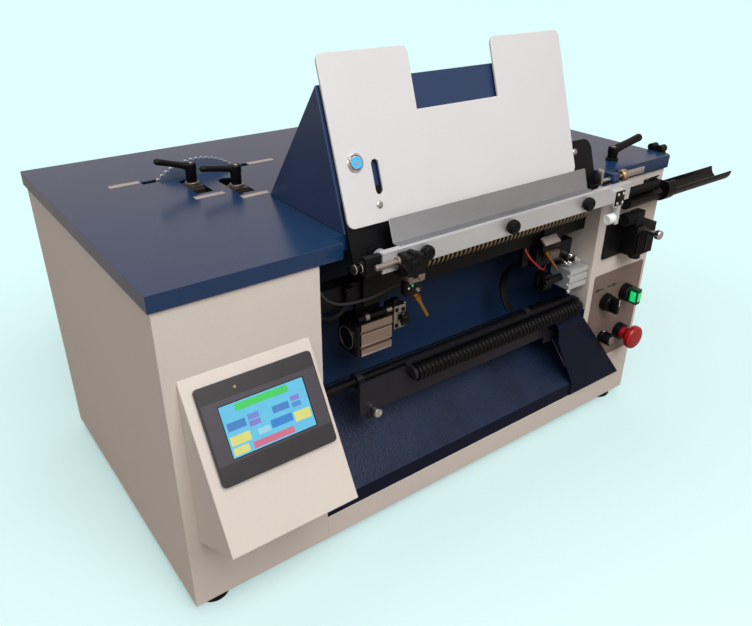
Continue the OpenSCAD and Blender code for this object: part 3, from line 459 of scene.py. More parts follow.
# Lid: one folded navy sheet over both housings with a cut for the carrier, long slots for the clamp slides and
# a thin one for the wheel. Small label plates of pale anodised sheet are glued beside the slots.
lid_coat = coat("navy_gloss_lid", "#14365a", 0.24, 2.6, 0.05, patch=0.05, Specular_IOR_Level=0.55,
                Specular_Tint=linear("#ffd8c8"))
soften("lid", lid_coat, 0.9)
label = coat("anodised_label_plate", "#b3a7a2", 0.38, 0.8, 0.02, metallic=0.35)
plates = bmesh.new()
for low, high in ((left(-103, 288, -0.2), left(-67, 297, 0.5)), (left(-37, 196.5, -0.2), left(-1, 205.5, 0.5)),
                  (left(7.5, 169.5, -0.2), left(41, 178.5, 0.5)), (left(73, 282.5, -0.2), left(110, 291.5, 0.5)),
                  (right(38, -3.5, -15), right(74, -2.8, -6))):
    block(plates, low, high, 0.2)
make("label_plates", plates, [label], body="machine")

# Hood: a closed navy wedge of folded sheet behind the backrest, screwed to the lid.
# Its hammer coat has dimples of 2.6 mm that scatter the light.
soften("hood", hammer, 0.8)

# Backrest and its bracket: a leaning plate in white powder coat with a cut top edge and a slot, on a black
# folded bracket with a raised middle.
black_coat = coat("black_satin_coat", "#0c0c0f", 0.42, 1.6, 0.04, patch=0.08, Specular_IOR_Level=0.15)
white_coat = coat("white_powder_coat", "#d7d5d6", 0.42, 2.0, 0.03, patch=0.02)
soften("backrest", white_coat, 0.6)
soften("rest_bracket", black_coat, 0.6)

# Push button: a lit cap in a chrome ring, low on the backrest's left. Its lens glows a clear blue and the
# ring is polished.
chrome = coat("polished_chrome", "#d6d7d9", 0.12, 1.0, 0.004, patch=0.03, metallic=1.0)
lean_back = 18.9
lean = math.radians(90 - lean_back)
rest = Matrix.Translation((0, front + 6.7 * mm, lid_top - 0.3 * mm)) @ Matrix.Rotation(lean, 4, "X")
rest_out = rest.to_3x3() @ Vector((0, 0, 1))
button_at = rest @ Vector((left_in + 62.4 * mm, 69 * mm, 0))
blue_glow = coat("lit_blue_lens", "#2f9fd8", 0.25, 1.5, 0.01, Emission_Color=linear("#39a8e0"),
    Emission_Strength=0.5)
ring = turned(bmesh.new(), button_at, rest_out, (
    (0, 7.2), (0, 9.6), (0.8, 9.6), (1.7, 9.0), (2.2, 8.2), (2.2, 7.5), (1.8, 7.2)), 0, 48, hollow=True)
make("button_ring", ring, [chrome], body="machine")
cap = turned(bmesh.new(), button_at, rest_out, (
    (-9, 0), (-9, 9.4), (-6.6, 9.4), (-6.6, 6.9), (1.6, 6.9), (2.6, 6.6), (3.2, 5.9), (3.2, 5.2), (2.7, 4.9),
    (2.7, 2.6), (3.1, 2.3), (3.3, 0)), 0, 48)
for face in cap.faces:
    depth = (face.calc_center_median() - button_at).dot(rest_out) / mm
    off = ((face.calc_center_median() - button_at) - rest_out * depth * mm).length / mm
    face.material_index = 1 if depth > 1.9 and 2.4 < off < 6.0 else 0
make("button_cap_made", cap, [chrome, blue_glow], ["button_cap"])

# Carrier tray and clamp bar: a folded aluminium shelf for the book and a flat bar before it. The brushing runs
# along the bar; its lines are drawn 1 mm apart so that they show.
brushed = coat("brushed_aluminium", "#dcdfe2", 0.42, 1.0, 0.03, patch=0.06, metallic=0.7, stretch=(0.02, 1, 1))
satin_alu = coat("satin_aluminium", "#9a9da2", 0.5, 0.9, 0.03, patch=0.06, metallic=1.0, stretch=(0.05, 1, 1))
soften("carrier_tray", satin_alu, 0.3)
soften("clamp_bar", brushed, 0.5)

# Bar end: a black block at the bar's left end with a black bolt and two thin chrome washers.
# It is painted steel, bolted to the bar, and rides on the carrier.
bar_end = block(bmesh.new(), left(35, -27.2, -31), left(54.2, -19, -11), 1.0)
block(bar_end, left(31, -26, -27), left(35.6, -20, -14), 0.6)
turned(bar_end, left(31.4, -23.5, -20), (-1, 0, 0), (
    (-0.5, 4.8), (1.6, 4.8), (2.0, 4.4), (2.0, 3.0), (6.5, 3.0), (6.5, 4.4), (9.6, 4.4), (10.2, 3.8), (10.2, 0)), 0,
    24)
for away in (0.4, 7.2):
    turned(bar_end, left(31.4 - away, -23.5, -20), (-1, 0, 0), ((0, 3), (0, 5.1), (0.8, 5.1), (0.8, 3)), 1, 24,
        hollow=True)
make("bar_end_block", bar_end, [black_coat, chrome], body="carrier")

# Comb: a black strip behind the bar with a row of curved bronze fins at the coil's pitch.
# Each fin is one drawn outline, repeated along the strip by a node tree.
bronze = coat("comb_bronze", "#8f836f", 0.35, 0.7, 0.02, patch=0.1, metallic=0.9)
comb_low, comb_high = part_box("pitch_comb")
pitch = 6.35
strip = block(bmesh.new(), (comb_low.x, comb_low.y, lid_top - 37 * mm), (comb_high.x, comb_high.y, comb_high.z),
    0.3)
make("comb_strip", strip, [black_coat], ["pitch_comb"])
fin = drawn(bmesh.new(), [(0, y * mm, z * mm) for y, z in (
    (2.9, -31), (-1.2, -31), (-2.6, -33), (-3.0, -35.5), (-2.4, -38.5), (-0.6, -41.8), (1.2, -43.6), (2.9, -44))],
    (2.7 * mm, 0, 0))
fins = int((comb_high.x - comb_low.x - 3 * mm) / (pitch * mm)) + 1
placed(row_tree, "comb_fins", {"Piece": pattern("fin", fin), "Count": fins,
    "Start": (comb_low.x, comb_low.y, lid_top),
                               "Step": (pitch * mm, 0, 0), "Finish": bronze}, body="carrier")

# Bar knobs: three black moulded knobs with grip ribs, on threaded studs through the bar.
# The body is turned, and its ribs are repeated about the axis by a node tree.
bar_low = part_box("clamp_bar")[0]
for name in ("left", "mid", "right"):
    low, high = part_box("bar_knob_" + name)
    middle = (low + high) / 2
    face = Vector((middle.x, bar_low.y - 0.3 * mm, middle.z))
    knob = turned(bmesh.new(), face, (0, -1, 0), (
        (-8, 0), (-8, 3), (0, 3), (0, 6.0), (1.4, 6.6), (2.0, 7.5), (7.6, 7.5), (8.8, 7.0), (9.5, 6.0), (9.7, 5.0),
        (9.7, 3.4), (9.0, 3.0), (9.0, 0)))
    make("bar_knob_" + name + "_made", knob, [black_plastic], ["bar_knob_" + name])
    rib = block(bmesh.new(), (7.1 * mm, -7.4 * mm, -0.75 * mm), (8.1 * mm, -2.2 * mm, 0.75 * mm), 0.3)
    placed(row_tree, "bar_knob_" + name + "_ribs", {
        "Piece": pattern("knob_rib", rib), "Count": 18, "Start": face, "Turn": (0, 2 * math.pi / 18, 0),
        "Finish": black_plastic}, body="bar_knob_" + name)

# End stop: a black block that clamps on the bar with a lobed knob, and carries a steel pin with a collar, a
# steel saddle, a sensor block with two lamps, and a brass air nozzle with its thin tube.
brass = coat("turned_brass", "#a27b42", 0.28, 0.6, 0.015, patch=0.08, metallic=1.0)
satin_steel = coat("satin_warm_steel", "#9b918e", 0.38, 0.8, 0.02, patch=0.08, metallic=1.0)
green_lamp = coat("green_lamp", "#2c8a45", 0.3, 1.0, 0.005, Emission_Color=linear("#3fb85c"), Emission_Strength=0.5)
white_lamp = coat("white_lamp", "#b9b5a6", 0.3, 1.0, 0.005, Emission_Color=linear("#fff4d8"), Emission_Strength=0.1)
soften("stop_block", black_coat, 0.6)
soften("stop_knob", black_plastic, 0.8)
stop_low, stop_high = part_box("stop_block")
stop_x = ((stop_low + stop_high) / 2).x


def stop(x, y, z):
    """A point in millimetres from the stop's middle, the bar's front and the lid's top."""
    return Vector((stop_x + x * mm, bar_low.y + y * mm, lid_top + z * mm))


hub = turned(bmesh.new(), stop(0, -18.9, -22), (0, -1, 0),
    ((-1, 7.0), (0.4, 7.0), (1.0, 6.4), (1.0, 4.2), (0.3, 3.8), (0.3, 0)))
make("stop_knob_hub", hub, [black_coat], body="stop_knob")
rod = turned(bmesh.new(), stop(-9, -4, -20), (-1, 0, 0), (
    (-0.5, 3.2), (1.2, 3.2), (1.2, 5.1), (1.8, 5.6), (3.6, 5.6), (4.2, 5.1), (4.2, 3.3), (28.6, 3.3), (30, 2.4),
    (30, 0)))
block(rod, stop(-3, -13, -44), stop(17, -1, -36.5), 0.8, 1)
block(rod, stop(-1, -14.2, -42.5), stop(5, -12.6, -38.5), 0.5, 1)
block(rod, stop(9, -14.2, -42.5), stop(15, -12.6, -38.5), 0.5, 1)
block(rod, stop(-6, -12, -58), stop(15, -2, -43), 1.2, 2)
turned(rod, stop(1.5, -11.9, -46.5), (0, -1, 0), ((-0.5, 1.3), (0.3, 1.3), (0.6, 0.9), (0.7, 0)), 3, 20)
turned(rod, stop(-3, -11.9, -48.5), (0, -1, 0), ((-0.5, 1.1), (0.3, 1.1), (0.6, 0.8), (0.7, 0)), 4, 20)
tilt = Vector((math.sin(math.radians(150)), 0, math.cos(math.radians(150))))
nozzle = stop(8, -7, -57)
turned(rod, nozzle, tilt, ((0, 4.0), (4.5, 4.0), (4.5, 3.0), (6, 3.0), (6, 4.0), (11.5, 4.0), (12.5, 2.6),
    (13.5, 2.6),
                           (13.5, 0)), 5, 6)
turned(rod, nozzle, tilt, ((13, 2.5), (16, 2.5), (18, 2.1), (38, 2.1), (38, 0)), 5, 20)
turned(rod, stop(8, -1.4, -52.5), (0, -1, 0), ((-1, 2.6), (11.5, 2.6), (12.5, 2.0), (12.5, 1.2), (11.8, 0)), 0, 6)
make("stop_rod_made", rod, [satin_steel, satin_steel, black_plastic, green_lamp, white_lamp, brass], ["stop_rod"])

# Coil guide: an aluminium plate on the bar's right end with a black insert and four screws, and a leg that
# holds a small white nylon roller.
soften("guide_bracket", brushed, 0.5)
insert = block(bmesh.new(), right(-24.4, -35.4, -33), right(-7.6, -33.6, -14.5), 0.6)
for x in (-21, -11):
    for z in (-29.5, -18):
        turned(insert, right(x, -35.3, z), (0, -1, 0),
            ((-0.3, 2.2), (0.6, 2.2), (1.0, 1.7), (1.0, 1.0), (0.4, 0.9), (0.4, 0)), 1, 20)
make("guide_insert", insert, [black_plastic, chrome], body="carrier")
nylon = coat("white_nylon", "#f4f3f0", 0.45, 1.4, 0.02, Subsurface_Weight=0.15)
wheel = turned(bmesh.new(), right(-21.3, -33, -49), (-1, 0, 0), (
    (-9, 0), (-9, 3), (0, 3), (0, 5.6), (0.7, 6.5), (4.6, 6.5), (5.2, 5.9), (7.2, 5.9), (7.8, 6.5), (11.9, 6.5),
    (12.6, 5.7), (12.6, 3.2), (12.0, 3.0), (12.0, 0)))
make("nylon_roller_made", wheel, [nylon], ["nylon_roller"])

# Cavity bars: the square head rail with its curved strap and the round shaft that carries the cradle, black.
# All are painted steel that spans the two housings, with their edges rounded.
soften("cross_bars", black_coat, 0.6)

# Left cutter head: a black slide on the rail, an extruded aluminium cylinder with a black end cap in a chrome
# rim and a valve rod on top, and a nickel jaw with a wing nut on its plunger. The cylinder's black top plate is
# partly painted shade, and three thin chrome strips on its front are painted highlights.
soften("left_head", black_coat, 0.8)
drawn_alu = coat("drawn_aluminium", "#a8988f", 0.3, 1.0, 0.03, patch=0.12, metallic=1.0, stretch=(0.02, 1, 1))
cylinder = soften("left_cylinder", drawn_alu, 0.6)
cylinder.data.materials.append(black_plastic)
for face in cylinder.data.polygons:
    face.material_index = 1 if face.center.x < left(61.2, 0, 0).x else 0
end_plate = block(bmesh.new(), left(54.6, 17.2, -151.8), left(61.2, 52.8, -112.2), 2.5)
# A black plate over the cylinder's top: partly its black valve rail, partly painted shade on that top.
block(end_plate, left(60, 17.6, -112.6), left(102.6, 52.4, -110.6), 0.6)
turned(end_plate, left(53, 35, -132), (-1, 0, 0), (
    (-0.3, 12), (-0.3, 14), (0.4, 14), (0.7, 13.5), (0.7, 12.5), (0.4, 12)), 2, 48, hollow=True)
# Three thin chrome strips along the cylinder's front face: painted highlights on its groove edges.
for z in (-124.8, -138.8, -150.6):
    block(end_plate, left(61.4, 16.7, z), left(102.6, 17.2, z + 0.8), 0.15, 1)
for y in (21.5, 48.5):
    for z in (-147, -117):
        turned(end_plate, left(54.7, y, z), (-1, 0, 0),
            ((-0.3, 2.6), (0.5, 2.6), (0.8, 2.2), (0.8, 1.2), (0.2, 1.1), (0.2, 0)), 0, 20)
make("left_cylinder_end", end_plate, [black_plastic, chrome, satin_steel], body="left_head")
valve = turned(bmesh.new(), left(60, 24, -107.5), (1, 0, 0), (
    (0, 0), (0, 3.2), (0.8, 4.2), (9, 4.2), (9, 5.2), (14, 5.2), (14, 4.2), (34, 4.2), (34, 5.0), (38, 5.0),
    (38, 3.4),
    (46, 3.4), (46.6, 2.6), (46.6, 0)))
for face in valve.faces:
    spot = (face.calc_center_median().x - left_in) / mm
    face.material_index = 1 if 69 <= spot <= 74 or 101 <= spot else 0
block(valve, left(66, 22, -113), left(98, 27, -108), 0.5)
make("left_valve", valve, [black_plastic, satin_steel], body="left_head")
nickel = coat("satin_nickel", "#9d978e", 0.32, 0.9, 0.02, patch=0.08, metallic=1.0)
for node, toward, start, axis_y, axis_z, high, half in (
        ("left_plunger", 1, left(112, 0, 0).x, 35, -132, 24, 10),
        ("right_plunger", -1, right(-65, 0, 0).x, 21, -146, 16, 9)):
    y, z = front + axis_y * mm, lid_top + axis_z * mm
    long = 17 if toward > 0 else 16


    def jaw_point(x, dy, dz):
        return Vector((start + toward * x * mm, y + dy * mm, z + dz * mm))


    def jaw_block(x0, y0, z0, x1, y1, z1, rounding, finish):
        a, b = jaw_point(x0, y0, z0), jaw_point(x1, y1, z1)
        block(jaw, [min(a[i], b[i]) for i in range(3)], [max(a[i], b[i]) for i in range(3)], rounding, finish)


    jaw = turned(bmesh.new(), jaw_point(-38, 0, 0), (toward, 0, 0), ((0, 0), (0, 4.4), (0.6, 5), (39, 5), (39, 0)))
    jaw_block(0, -half, -6, long * 0.45, half, high, 1.0, 1)
    jaw_block(long * 0.4, -half, high - 13, long, half, high, 1.0, 1)
    jaw_block(long * 0.4, -half, -6, long, half, 5, 1.0, 1)
    jaw_block(long * 0.4, -half + 4, 3, long * 0.8, half - 4, high - 11, 0.4, 2)
    jaw_block(long - 1, -2, 2, long + 6, 2, high - 3, 0.6, 0)
    for dx, dz in ((long * 0.22, high - 5), (long * 0.22, -1), (long * 0.75, high - 6), (long * 0.75, -1)):
        turned(jaw, jaw_point(dx, -half - 0.1, dz), (0, -1, 0), (
            (-0.4, 2.6), (0.5, 2.6), (0.8, 2.2), (0.8, 1.2), (0.1, 1.1), (0.1, 0)), 2, 20)
    turned(jaw, jaw_point(long * 0.5, 0, high - 0.2), (0, 0, 1),
        ((0, 3), (2, 3), (2, 4.4), (3.2, 4.8), (5, 4.4), (5.6, 3.4), (5.6, 0)), 2, 24)
    for k in range(4):
        a = math.radians(45 + 90 * k)
        turned(jaw, jaw_point(long * 0.85 + 4.6 * math.cos(a), -half, 6 + 4.6 * math.sin(a)), (0, -1, 0), (
            (-0.5, 2.6), (4.6, 2.6), (5.4, 1.8), (5.4, 0)), 2, 20)
    turned(jaw, jaw_point(long * 0.85, -half, 6), (0, -1, 0),
        ((-0.5, 4.6), (5, 4.6), (5.8, 3.6), (5.8, 1.8), (5.2, 1.6), (5.2, 0)), 2, 24)
    make(node + "_made", jaw, [chrome, nickel, black_plastic] if toward > 0 else [black_plastic, black_coat,
        black_plastic], [node])

# Right cutter head: fixed to the rail, with a pale sensor cover, a brown-grey sensor, a brass air fitting, chrome
# elbows and its own aluminium cylinder.
soften("right_head", black_coat, 0.8)
soften("right_cylinder", brushed, 0.6)
fittings = bmesh.new()
cover = Matrix.Translation(right(-80, 11.5, -79)) @ Matrix.Rotation(math.radians(37), 4, "X")
block(fittings, (-14 * mm, -6 * mm, -2 * mm), (14 * mm, 6 * mm, 1.2 * mm), 0.5, 0, cover)
block(fittings, right(-95, 9.5, -92), right(-62, 17.5, -82), 1.0, 1)
block(fittings, right(-83, 7, -106), right(-64, 17.5, -95), 1.2, 4)
slant = Vector((0.6, -0.1, -0.79))
turned(fittings, right(-91, 8.5, -91), slant,
    ((0, 3.4), (4, 3.4), (4, 2.6), (6, 2.6), (6, 3.4), (11, 3.4), (12, 2.2), (13, 2.2), (13, 0)), 2, 6)
turned(fittings, right(-91, 8.5, -91), slant, ((12, 2.0), (38, 1.8), (38, 0)), 2, 20)
for x, z, way, long in ((-38, -111, (0.2, -1, 0), 8), (-30, -116, (0.8, -0.3, -0.3), 12),
        (-43, -120, (0, -1, -0.3), 7),
                        (-33, -124, (0, -1, 0), 6), (-24, -122, (1, -0.2, -0.2), 13)):
    turned(fittings, right(x, 16, z), way,
        ((-2, 3.4), (long - 3, 3.4), (long - 3, 2.7), (long - 1, 2.7), (long, 2), (long, 0)), 3, 20)
for x, z in ((-40, -116), (-28, -119)):
    block(fittings, right(x - 4, 11, z - 4), right(x + 4, 18, z + 4), 0.8, 1)
turned(fittings, right(-38, 6, -162), (0, -1, 0), ((-2, 3), (2, 3), (2.6, 2.4), (2.6, 1.4), (2, 1.2), (2, 0)), 3,
    20)
brown_case = coat("brown_grey_case", "#5f524c", 0.4, 1.2, 0.02, metallic=0.2)
make("right_head_fittings", fittings, [label, black_plastic, brass, chrome, brown_case], body="machine")

# Air line: a limp black hose that hangs in a loop between an elbow on the left wall and one on the rail. Its
# length is half a turn of 20 mm radius, 63 mm, and it is 6 mm thick, as its solid is.


def pipe(form, points, radius, finish=0, sides=16):
    """Adds a round tube along a row of points, with closed ends."""
    rings, across = [], None
    for i, spot in enumerate(points):
        ahead = (points[min(i + 1, len(points) - 1)] - points[max(i - 1, 0)]).normalized()
        across = ahead.orthogonal() if across is None else across - ahead * across.dot(ahead)
        across.normalize()
        other = ahead.cross(across)
        rings.append([form.verts.new(spot + (across * math.cos(a) + other * math.sin(a)) * radius * mm)
                      for a in [2 * math.pi * k / sides for k in range(sides)]])
    for near, away in zip(rings, rings[1:]):
        for k in range(sides):
            form.faces.new((near[k], near[(k + 1) % sides], away[(k + 1) % sides], away[k])).material_index = finish
    form.faces.new(rings[0][::-1]).material_index = finish
    form.faces.new(rings[-1]).material_index = finish
    return form


hose_coat = coat("limp_black_hose", "#0d0d0e", 0.6, 1.0, 0.02, Specular_IOR_Level=0.12)
hose_r, loop_r = 3, 20
loop = [left(24 - loop_r * math.cos(a), 18,
    -71 - loop_r * math.sin(a)) for a in [math.pi * i / 32 for i in range(33)]]
hose = make("air_line", pipe(bmesh.new(), loop, hose_r), [hose_coat], ["air_hose"])
elbows = bmesh.new()
for x0, x1, top in ((0, 9, -57), (39, 49, -60)):
    block(elbows, left(x0, 13, -66), left(x1, 22, top), 1.2)
for x in (4, 44):
    turned(elbows, left(x, 18, -65), (0, 0, -1),
        ((-1, 3.2), (0, 3.6), (3.6, 3.6), (4.2, 3.3), (5.9, 3.3), (5.9, hose_r - 0.5)), 1, 24)
elbows = make("air_elbows", elbows, [black_plastic, black_coat], body="machine")

# Sensor cable: a thin limp cable that hangs from the bar's underside, sags in front of the left head and ends
# at the left wall, 3 mm thick; its length is measured along its own route.


def bend(knots, steps=10):
    """Points of a smooth curve through the knots."""
    full = [knots[0] * 2 - knots[1]] + list(knots) + [knots[-1] * 2 - knots[-2]]
    points = []
    for a, b, c, d in zip(full, full[1:], full[2:], full[3:]):
        for t in [k / steps for k in range(steps)]:
            points.append(0.5 * (b * 2 + (c - a) * t + (a * 2 - b * 5 + c * 4 - d) * t * t + (b * 3 - a - c * 3 + d) * t ** 3))
    return points + [knots[-1]]


cable_route = bend([left(112, -24.5, -30.6), left(112, -23, -40), left(108.5, -14, -53), left(100, -5, -61.5),
    left(86, 0, -66.6),
                    left(60, 0, -70.7), left(28.6, 1, -68.9), left(11.4, 4, -61.6), left(1.6, 9, -47.5)])
cable_coat = coat("grey_cable_sheath", "#29292b", 0.5, 1.0, 0.02, Specular_IOR_Level=0.25)
cable = make("sensor_cable", pipe(bmesh.new(), cable_route, 1.5), [cable_coat], body="carrier")

# Signal wire: a limp red wire of 3 mm that leaves the head rail's underside and loops below the right head to its
# bottom; its length is measured along its own route.
red_sheath = coat("red_wire_sheath", "#8c181e", 0.45, 1.0, 0.02)
wire_route = bend([right(-113, 25, -84.6), right(-113.5, 21, -90), right(-113, 15.5, -95.5),
    right(-109.5, 12.2, -101), right(-101, 11.5, -109),
                   right(-88, 13.5, -118.6), right(-78, 18, -122.6), right(-71, 22.5, -120.5),
                   right(-69, 24, -116.8)])
wire = make("signal_wire", pipe(bmesh.new(), wire_route, 1.5), [red_sheath], body="machine")

# Cradle and ribbed roller: a black plate that swings on the shaft and carries a black rubber roller with a
# groove at every coil turn, and a polished locking knob.
web_coat = coat("grey_satin_coat", "#23222a", 0.42, 1.6, 0.04, patch=0.08, Specular_IOR_Level=0.2)
soften("roller_cradle", web_coat, 0.5)
roller_low, roller_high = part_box("ribbed_roller")
roller_x0, roller_l = roller_low.x + 7 * mm, (roller_high.x - roller_low.x) / mm - 14
roller_y, roller_z = (roller_low.y + roller_high.y) / 2, (roller_low.z + roller_high.z) / 2
core = turned(bmesh.new(), Vector((roller_low.x, roller_y, roller_z)), (1, 0, 0), (
    (0, 0), (0, 4), (7, 4), (7, 8.8), (7.4, 9.4), (6.6 + roller_l, 9.4), (7 + roller_l, 8.8), (7 + roller_l, 4),
    (14 + roller_l, 4), (14 + roller_l, 0)))
make("roller_core", core, [rubber], ["ribbed_roller"])
rib = turned(bmesh.new(), (0, 0, 0), (1, 0, 0), (
    (0, 9.2), (0.1, 10.0), (0.6, 10.6), (1.4, 10.95), (2.8, 10.95), (3.6, 10.6), (4.1, 10.0), (4.2, 9.2)), 0, 40)
gloss_rubber = coat("glossy_rubber", "#09090a", 0.34, 1.4, 0.03, patch=0.1, Specular_IOR_Level=0.13)
placed(row_tree, "roller_ribs", {
    "Piece": pattern("roller_rib", rib), "Count": int((roller_l - 4.4) / pitch) + 1, "Finish": gloss_rubber,
    "Start": (roller_x0, roller_y, roller_z), "Step": (pitch * mm, 0, 0)}, body="ribbed_roller")
knob = turned(bmesh.new(), left(78, 15.7, -229.5), (0, -1, 0), (
    (-6.3, 0), (-6.3, 3), (0, 3), (0, 4.4), (0.6, 5.3), (2.0, 5.5), (8.4, 5.5), (9.3, 5.0), (9.7, 3.8), (9.7, 2.2),
    (9.0, 2.0),
    (9.0, 0)))
make("cradle_knob_made", knob, [chrome], ["cradle_knob"])
ridge = block(bmesh.new(), (5.2 * mm, -8.2 * mm, -0.4 * mm), (5.8 * mm, -2.2 * mm, 0.4 * mm), 0.15)
placed(row_tree, "cradle_knob_knurl", {
    "Piece": pattern("cradle_ridge", ridge), "Count": 24, "Start": left(78, 15.7, -229.5),
    "Turn": (0, math.pi / 12, 0),
    "Finish": chrome}, body="cradle_knob")

# Console: a sloped cream box on the left housing's front with a touch screen in a dark frame, and a grey film
# around the glass. The picture is a plain board of lit colour fields.
soften("hmi_box", cream, 1.2)
frame_grey = coat("dark_grey_bezel", "#262328", 0.42, 1.0, 0.03, patch=0.06)
soften("hmi_bezel", frame_grey, 1.0)
body_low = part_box("left_housing")[0]
desk_top, desk_slope = 91, 60
desk = Matrix.Translation((0, front, lid_top - desk_top * mm)) @ Matrix.Rotation(math.radians(desk_slope), 4, "X")
film_grey = coat("grey_screen_film", "#423e47", 0.35, 1.0, 0.01, patch=0.04)
film = bmesh.new()
for x0, x1, v0, v1 in ((25.2, 40, -87, -29), (130.5, 145.3, -87, -29), (40, 130.5, -34, -29),
        (40, 130.5, -87, -85)):
    corners = [desk @ Vector((body_low.x + x * mm, v * mm, 6.1 * mm)) for x,
        v in ((x0, v0), (x1, v0), (x1, v1), (x0, v1))]
    drawn(film, corners, (desk.to_3x3() @ Vector((0, 0, -1))) * 0.3 * mm)
make("screen_film", film, [film_grey], body="machine")
glass = coat("dark_screen_glass", "#10141c", 0.12, 2.0, 0.002)
frame["nodes"]["touch_screen"].data.materials.clear()
frame["nodes"]["touch_screen"].data.materials.append(glass)
lit = bpy.data.materials.new("lit_screen_picture")
lit.use_nodes = True
tree = lit.node_tree
shader = tree.nodes["Principled BSDF"]
shade = put(tree, "ShaderNodeVertexColor", layer_name="field")
place = put(tree, "ShaderNodeTexCoord")
dots = put(tree, "ShaderNodeTexNoise", {"Vector": place.outputs["Object"], "Scale": 1 / (9 * mm), "Detail": 2.0})
dim = put(tree, "ShaderNodeMapRange",
    {"Value": dots.outputs[0], "From Min": 0.3, "From Max": 0.7, "To Min": 0.94, "To Max": 1.0})
cell = put(tree, "ShaderNodeVectorMath", {0: shade.outputs["Color"], "Scale": dim.outputs[0]}, operation="SCALE")
tree.links.new(cell.outputs[0], shader.inputs["Emission Color"])
shader.inputs["Emission Strength"].default_value = 0.85
shader.inputs["Base Color"].default_value = linear("#0c1016")
shader.inputs["Roughness"].default_value = 0.15
picture = bmesh.new()
shade_layer = picture.loops.layers.float_color.new("field")
picture_x, picture_y, picture_w, picture_h = body_low.x + 41 * mm, -84 * mm, 88.5, 49.0
fields = (
    (0, 0, 1, 1, "#6fd4fa", 0), (0.17, 0.83, 0.80, 0.97, "#4fe06a", 1), (0.03, 0.50, 0.24, 0.66, "#4c8fd6", 1),
    (0.27, 0.58, 0.40, 0.69, "#7f95e4", 1), (0.27, 0.45, 0.40, 0.56, "#8f8ae0", 1),
    (0.56, 0.52, 0.76, 0.66, "#4c8fd6", 1),
    (0.79, 0.62, 0.90, 0.72, "#8f8ae0", 1), (0.79, 0.49, 0.90, 0.59, "#5a9fe6", 1),
    (0.34, 0.24, 0.48, 0.36, "#a8e7f5", 1),
    (0.50, 0.26, 0.76, 0.42, "#3d8fe0", 1), (0.02, 0.22, 0.25, 0.40, "#ecec8a", 1),
    (0.02, 0.03, 0.20, 0.18, "#ecec8a", 1),
    (0.78, 0.20, 0.98, 0.40, "#ecec8a", 1), (0.25, 0.03, 0.74, 0.16, "#e07a98", 1))
for u0, v0, u1, v1, colour, lift in fields:
    spots = [desk @ Vector((picture_x + u * picture_w * mm, picture_y + v * picture_h * mm,
        (5.74 + 0.06 * lift) * mm))
             for u, v in ((u0, v0), (u1, v0), (u1, v1), (u0, v1))]
    drawn(picture, spots, (desk.to_3x3() @ Vector((0, 0, -1))) * 0.05 * mm)
    picture.faces.ensure_lookup_table()
    for face in picture.faces[-6:]:
        for corner in face.loops:
            corner[shade_layer] = linear(colour)
make("screen_picture", picture, [lit], body="machine")
amber = coat("amber_lamp", "#a07c58", 0.3, 1.0, 0.005, Emission_Color=linear("#e0a060"), Emission_Strength=0.12)
lamp_at = desk @ Vector((left_in - 106 * mm, -21.5 * mm, 6 * mm))
lamp_out = desk.to_3x3() @ Vector((0, 0, 1))
lamp_form = turned(bmesh.new(), lamp_at, lamp_out, ((-0.3, 1.5), (0.2, 1.5), (0.5, 1.1), (0.6, 0)), 0, 20)
make("console_lamp", lamp_form, [amber], body="machine")

# Control panel: a warm grey anodised plate on the right housing's front, with printed arrows and dial ticks.
# The print is a film of thin drawn patches.
warm_plate = coat("warm_anodised_plate", "#7d6b65", 0.45, 0.8, 0.02, metallic=0.2, patch=0.05)
soften("control_plate", warm_plate, 0.4)
print_ink = coat("black_print", "#1d1c1c", 0.6, 1.0, 0.005)
plate_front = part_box("control_plate")[0].y
marks = bmesh.new()


def mark(points):
    """Adds a thin printed patch on the plate, in mm from the right wall and the lid's top."""
    drawn(marks, [Vector((right_in + x * mm, plate_front - 0.06 * mm, lid_top + z * mm)) for x, z in points],
        (0, 0.1 * mm, 0))


def ticks(x, z, near, far, count, first, last):
    for i in range(count):
        a = math.radians(first + (last - first) * i / (count - 1))
        c, s = math.cos(a), math.sin(a)
        mark([(x + near * c - 0.5 * s, z + near * s + 0.5 * c), (x + near * c + 0.5 * s, z + near * s - 0.5 * c),
              (x + far * c + 0.5 * s, z + far * s - 0.5 * c), (x + far * c - 0.5 * s, z + far * s + 0.5 * c)])


estop_x, estop_z, sel_x, sel_z, lit_x, lit_z, speed_x, speed_z = 85, -258.5, 41.5, -198, 84, -194, 45, -255
ticks(speed_x, speed_z, 14, 17.5, 11, 225, -45)
ticks(sel_x, sel_z, 16, 20, 2, 135, 45)
arrow_z, arrow_gap, shaft_w, head_l, head_w = -175.6, 4, 1.0, 10, 2.9
for tip, tail, way in ((12.9, 38 - arrow_gap, 1), (63.6, 38 + arrow_gap, -1)):
    neck = tip + way * head_l
    mark([(tip, arrow_z), (neck, arrow_z - head_w), (neck, arrow_z + head_w)])
    mark([(neck, arrow_z - shaft_w), (tail, arrow_z - shaft_w), (tail, arrow_z + shaft_w),
        (neck, arrow_z + shaft_w)])
make("panel_print", marks, [print_ink], body="machine")

# The controls: contact blocks behind the plate with black collars, a red mushroom emergency stop, a
# selector with a white pointer, a lit green switch and a ribbed speed knob with a bright end.
red = coat("glossy_red_plastic", "#a3141d", 0.25, 1.6, 0.01, patch=0.06)
white_ink = coat("white_print", "#e8e6e0", 0.5, 1.0, 0.005)
green_glow = coat("lit_green_lens", "#1fbf6a", 0.2, 2.0, 0.01, Emission_Color=linear("#16dc78"),
    Emission_Strength=0.6)
green_dim = coat("dark_green_lens", "#0b2c20", 0.2, 2.0, 0.01, Emission_Color=linear("#0f6a40"),
    Emission_Strength=0.14)
soften("switch_bodies", black_plastic, 0.6)


def panel(x, y, z):
    """A point in millimetres from the right wall, the plate's front and the lid's top."""
    return Vector((right_in + x * mm, plate_front + y * mm, lid_top + z * mm))


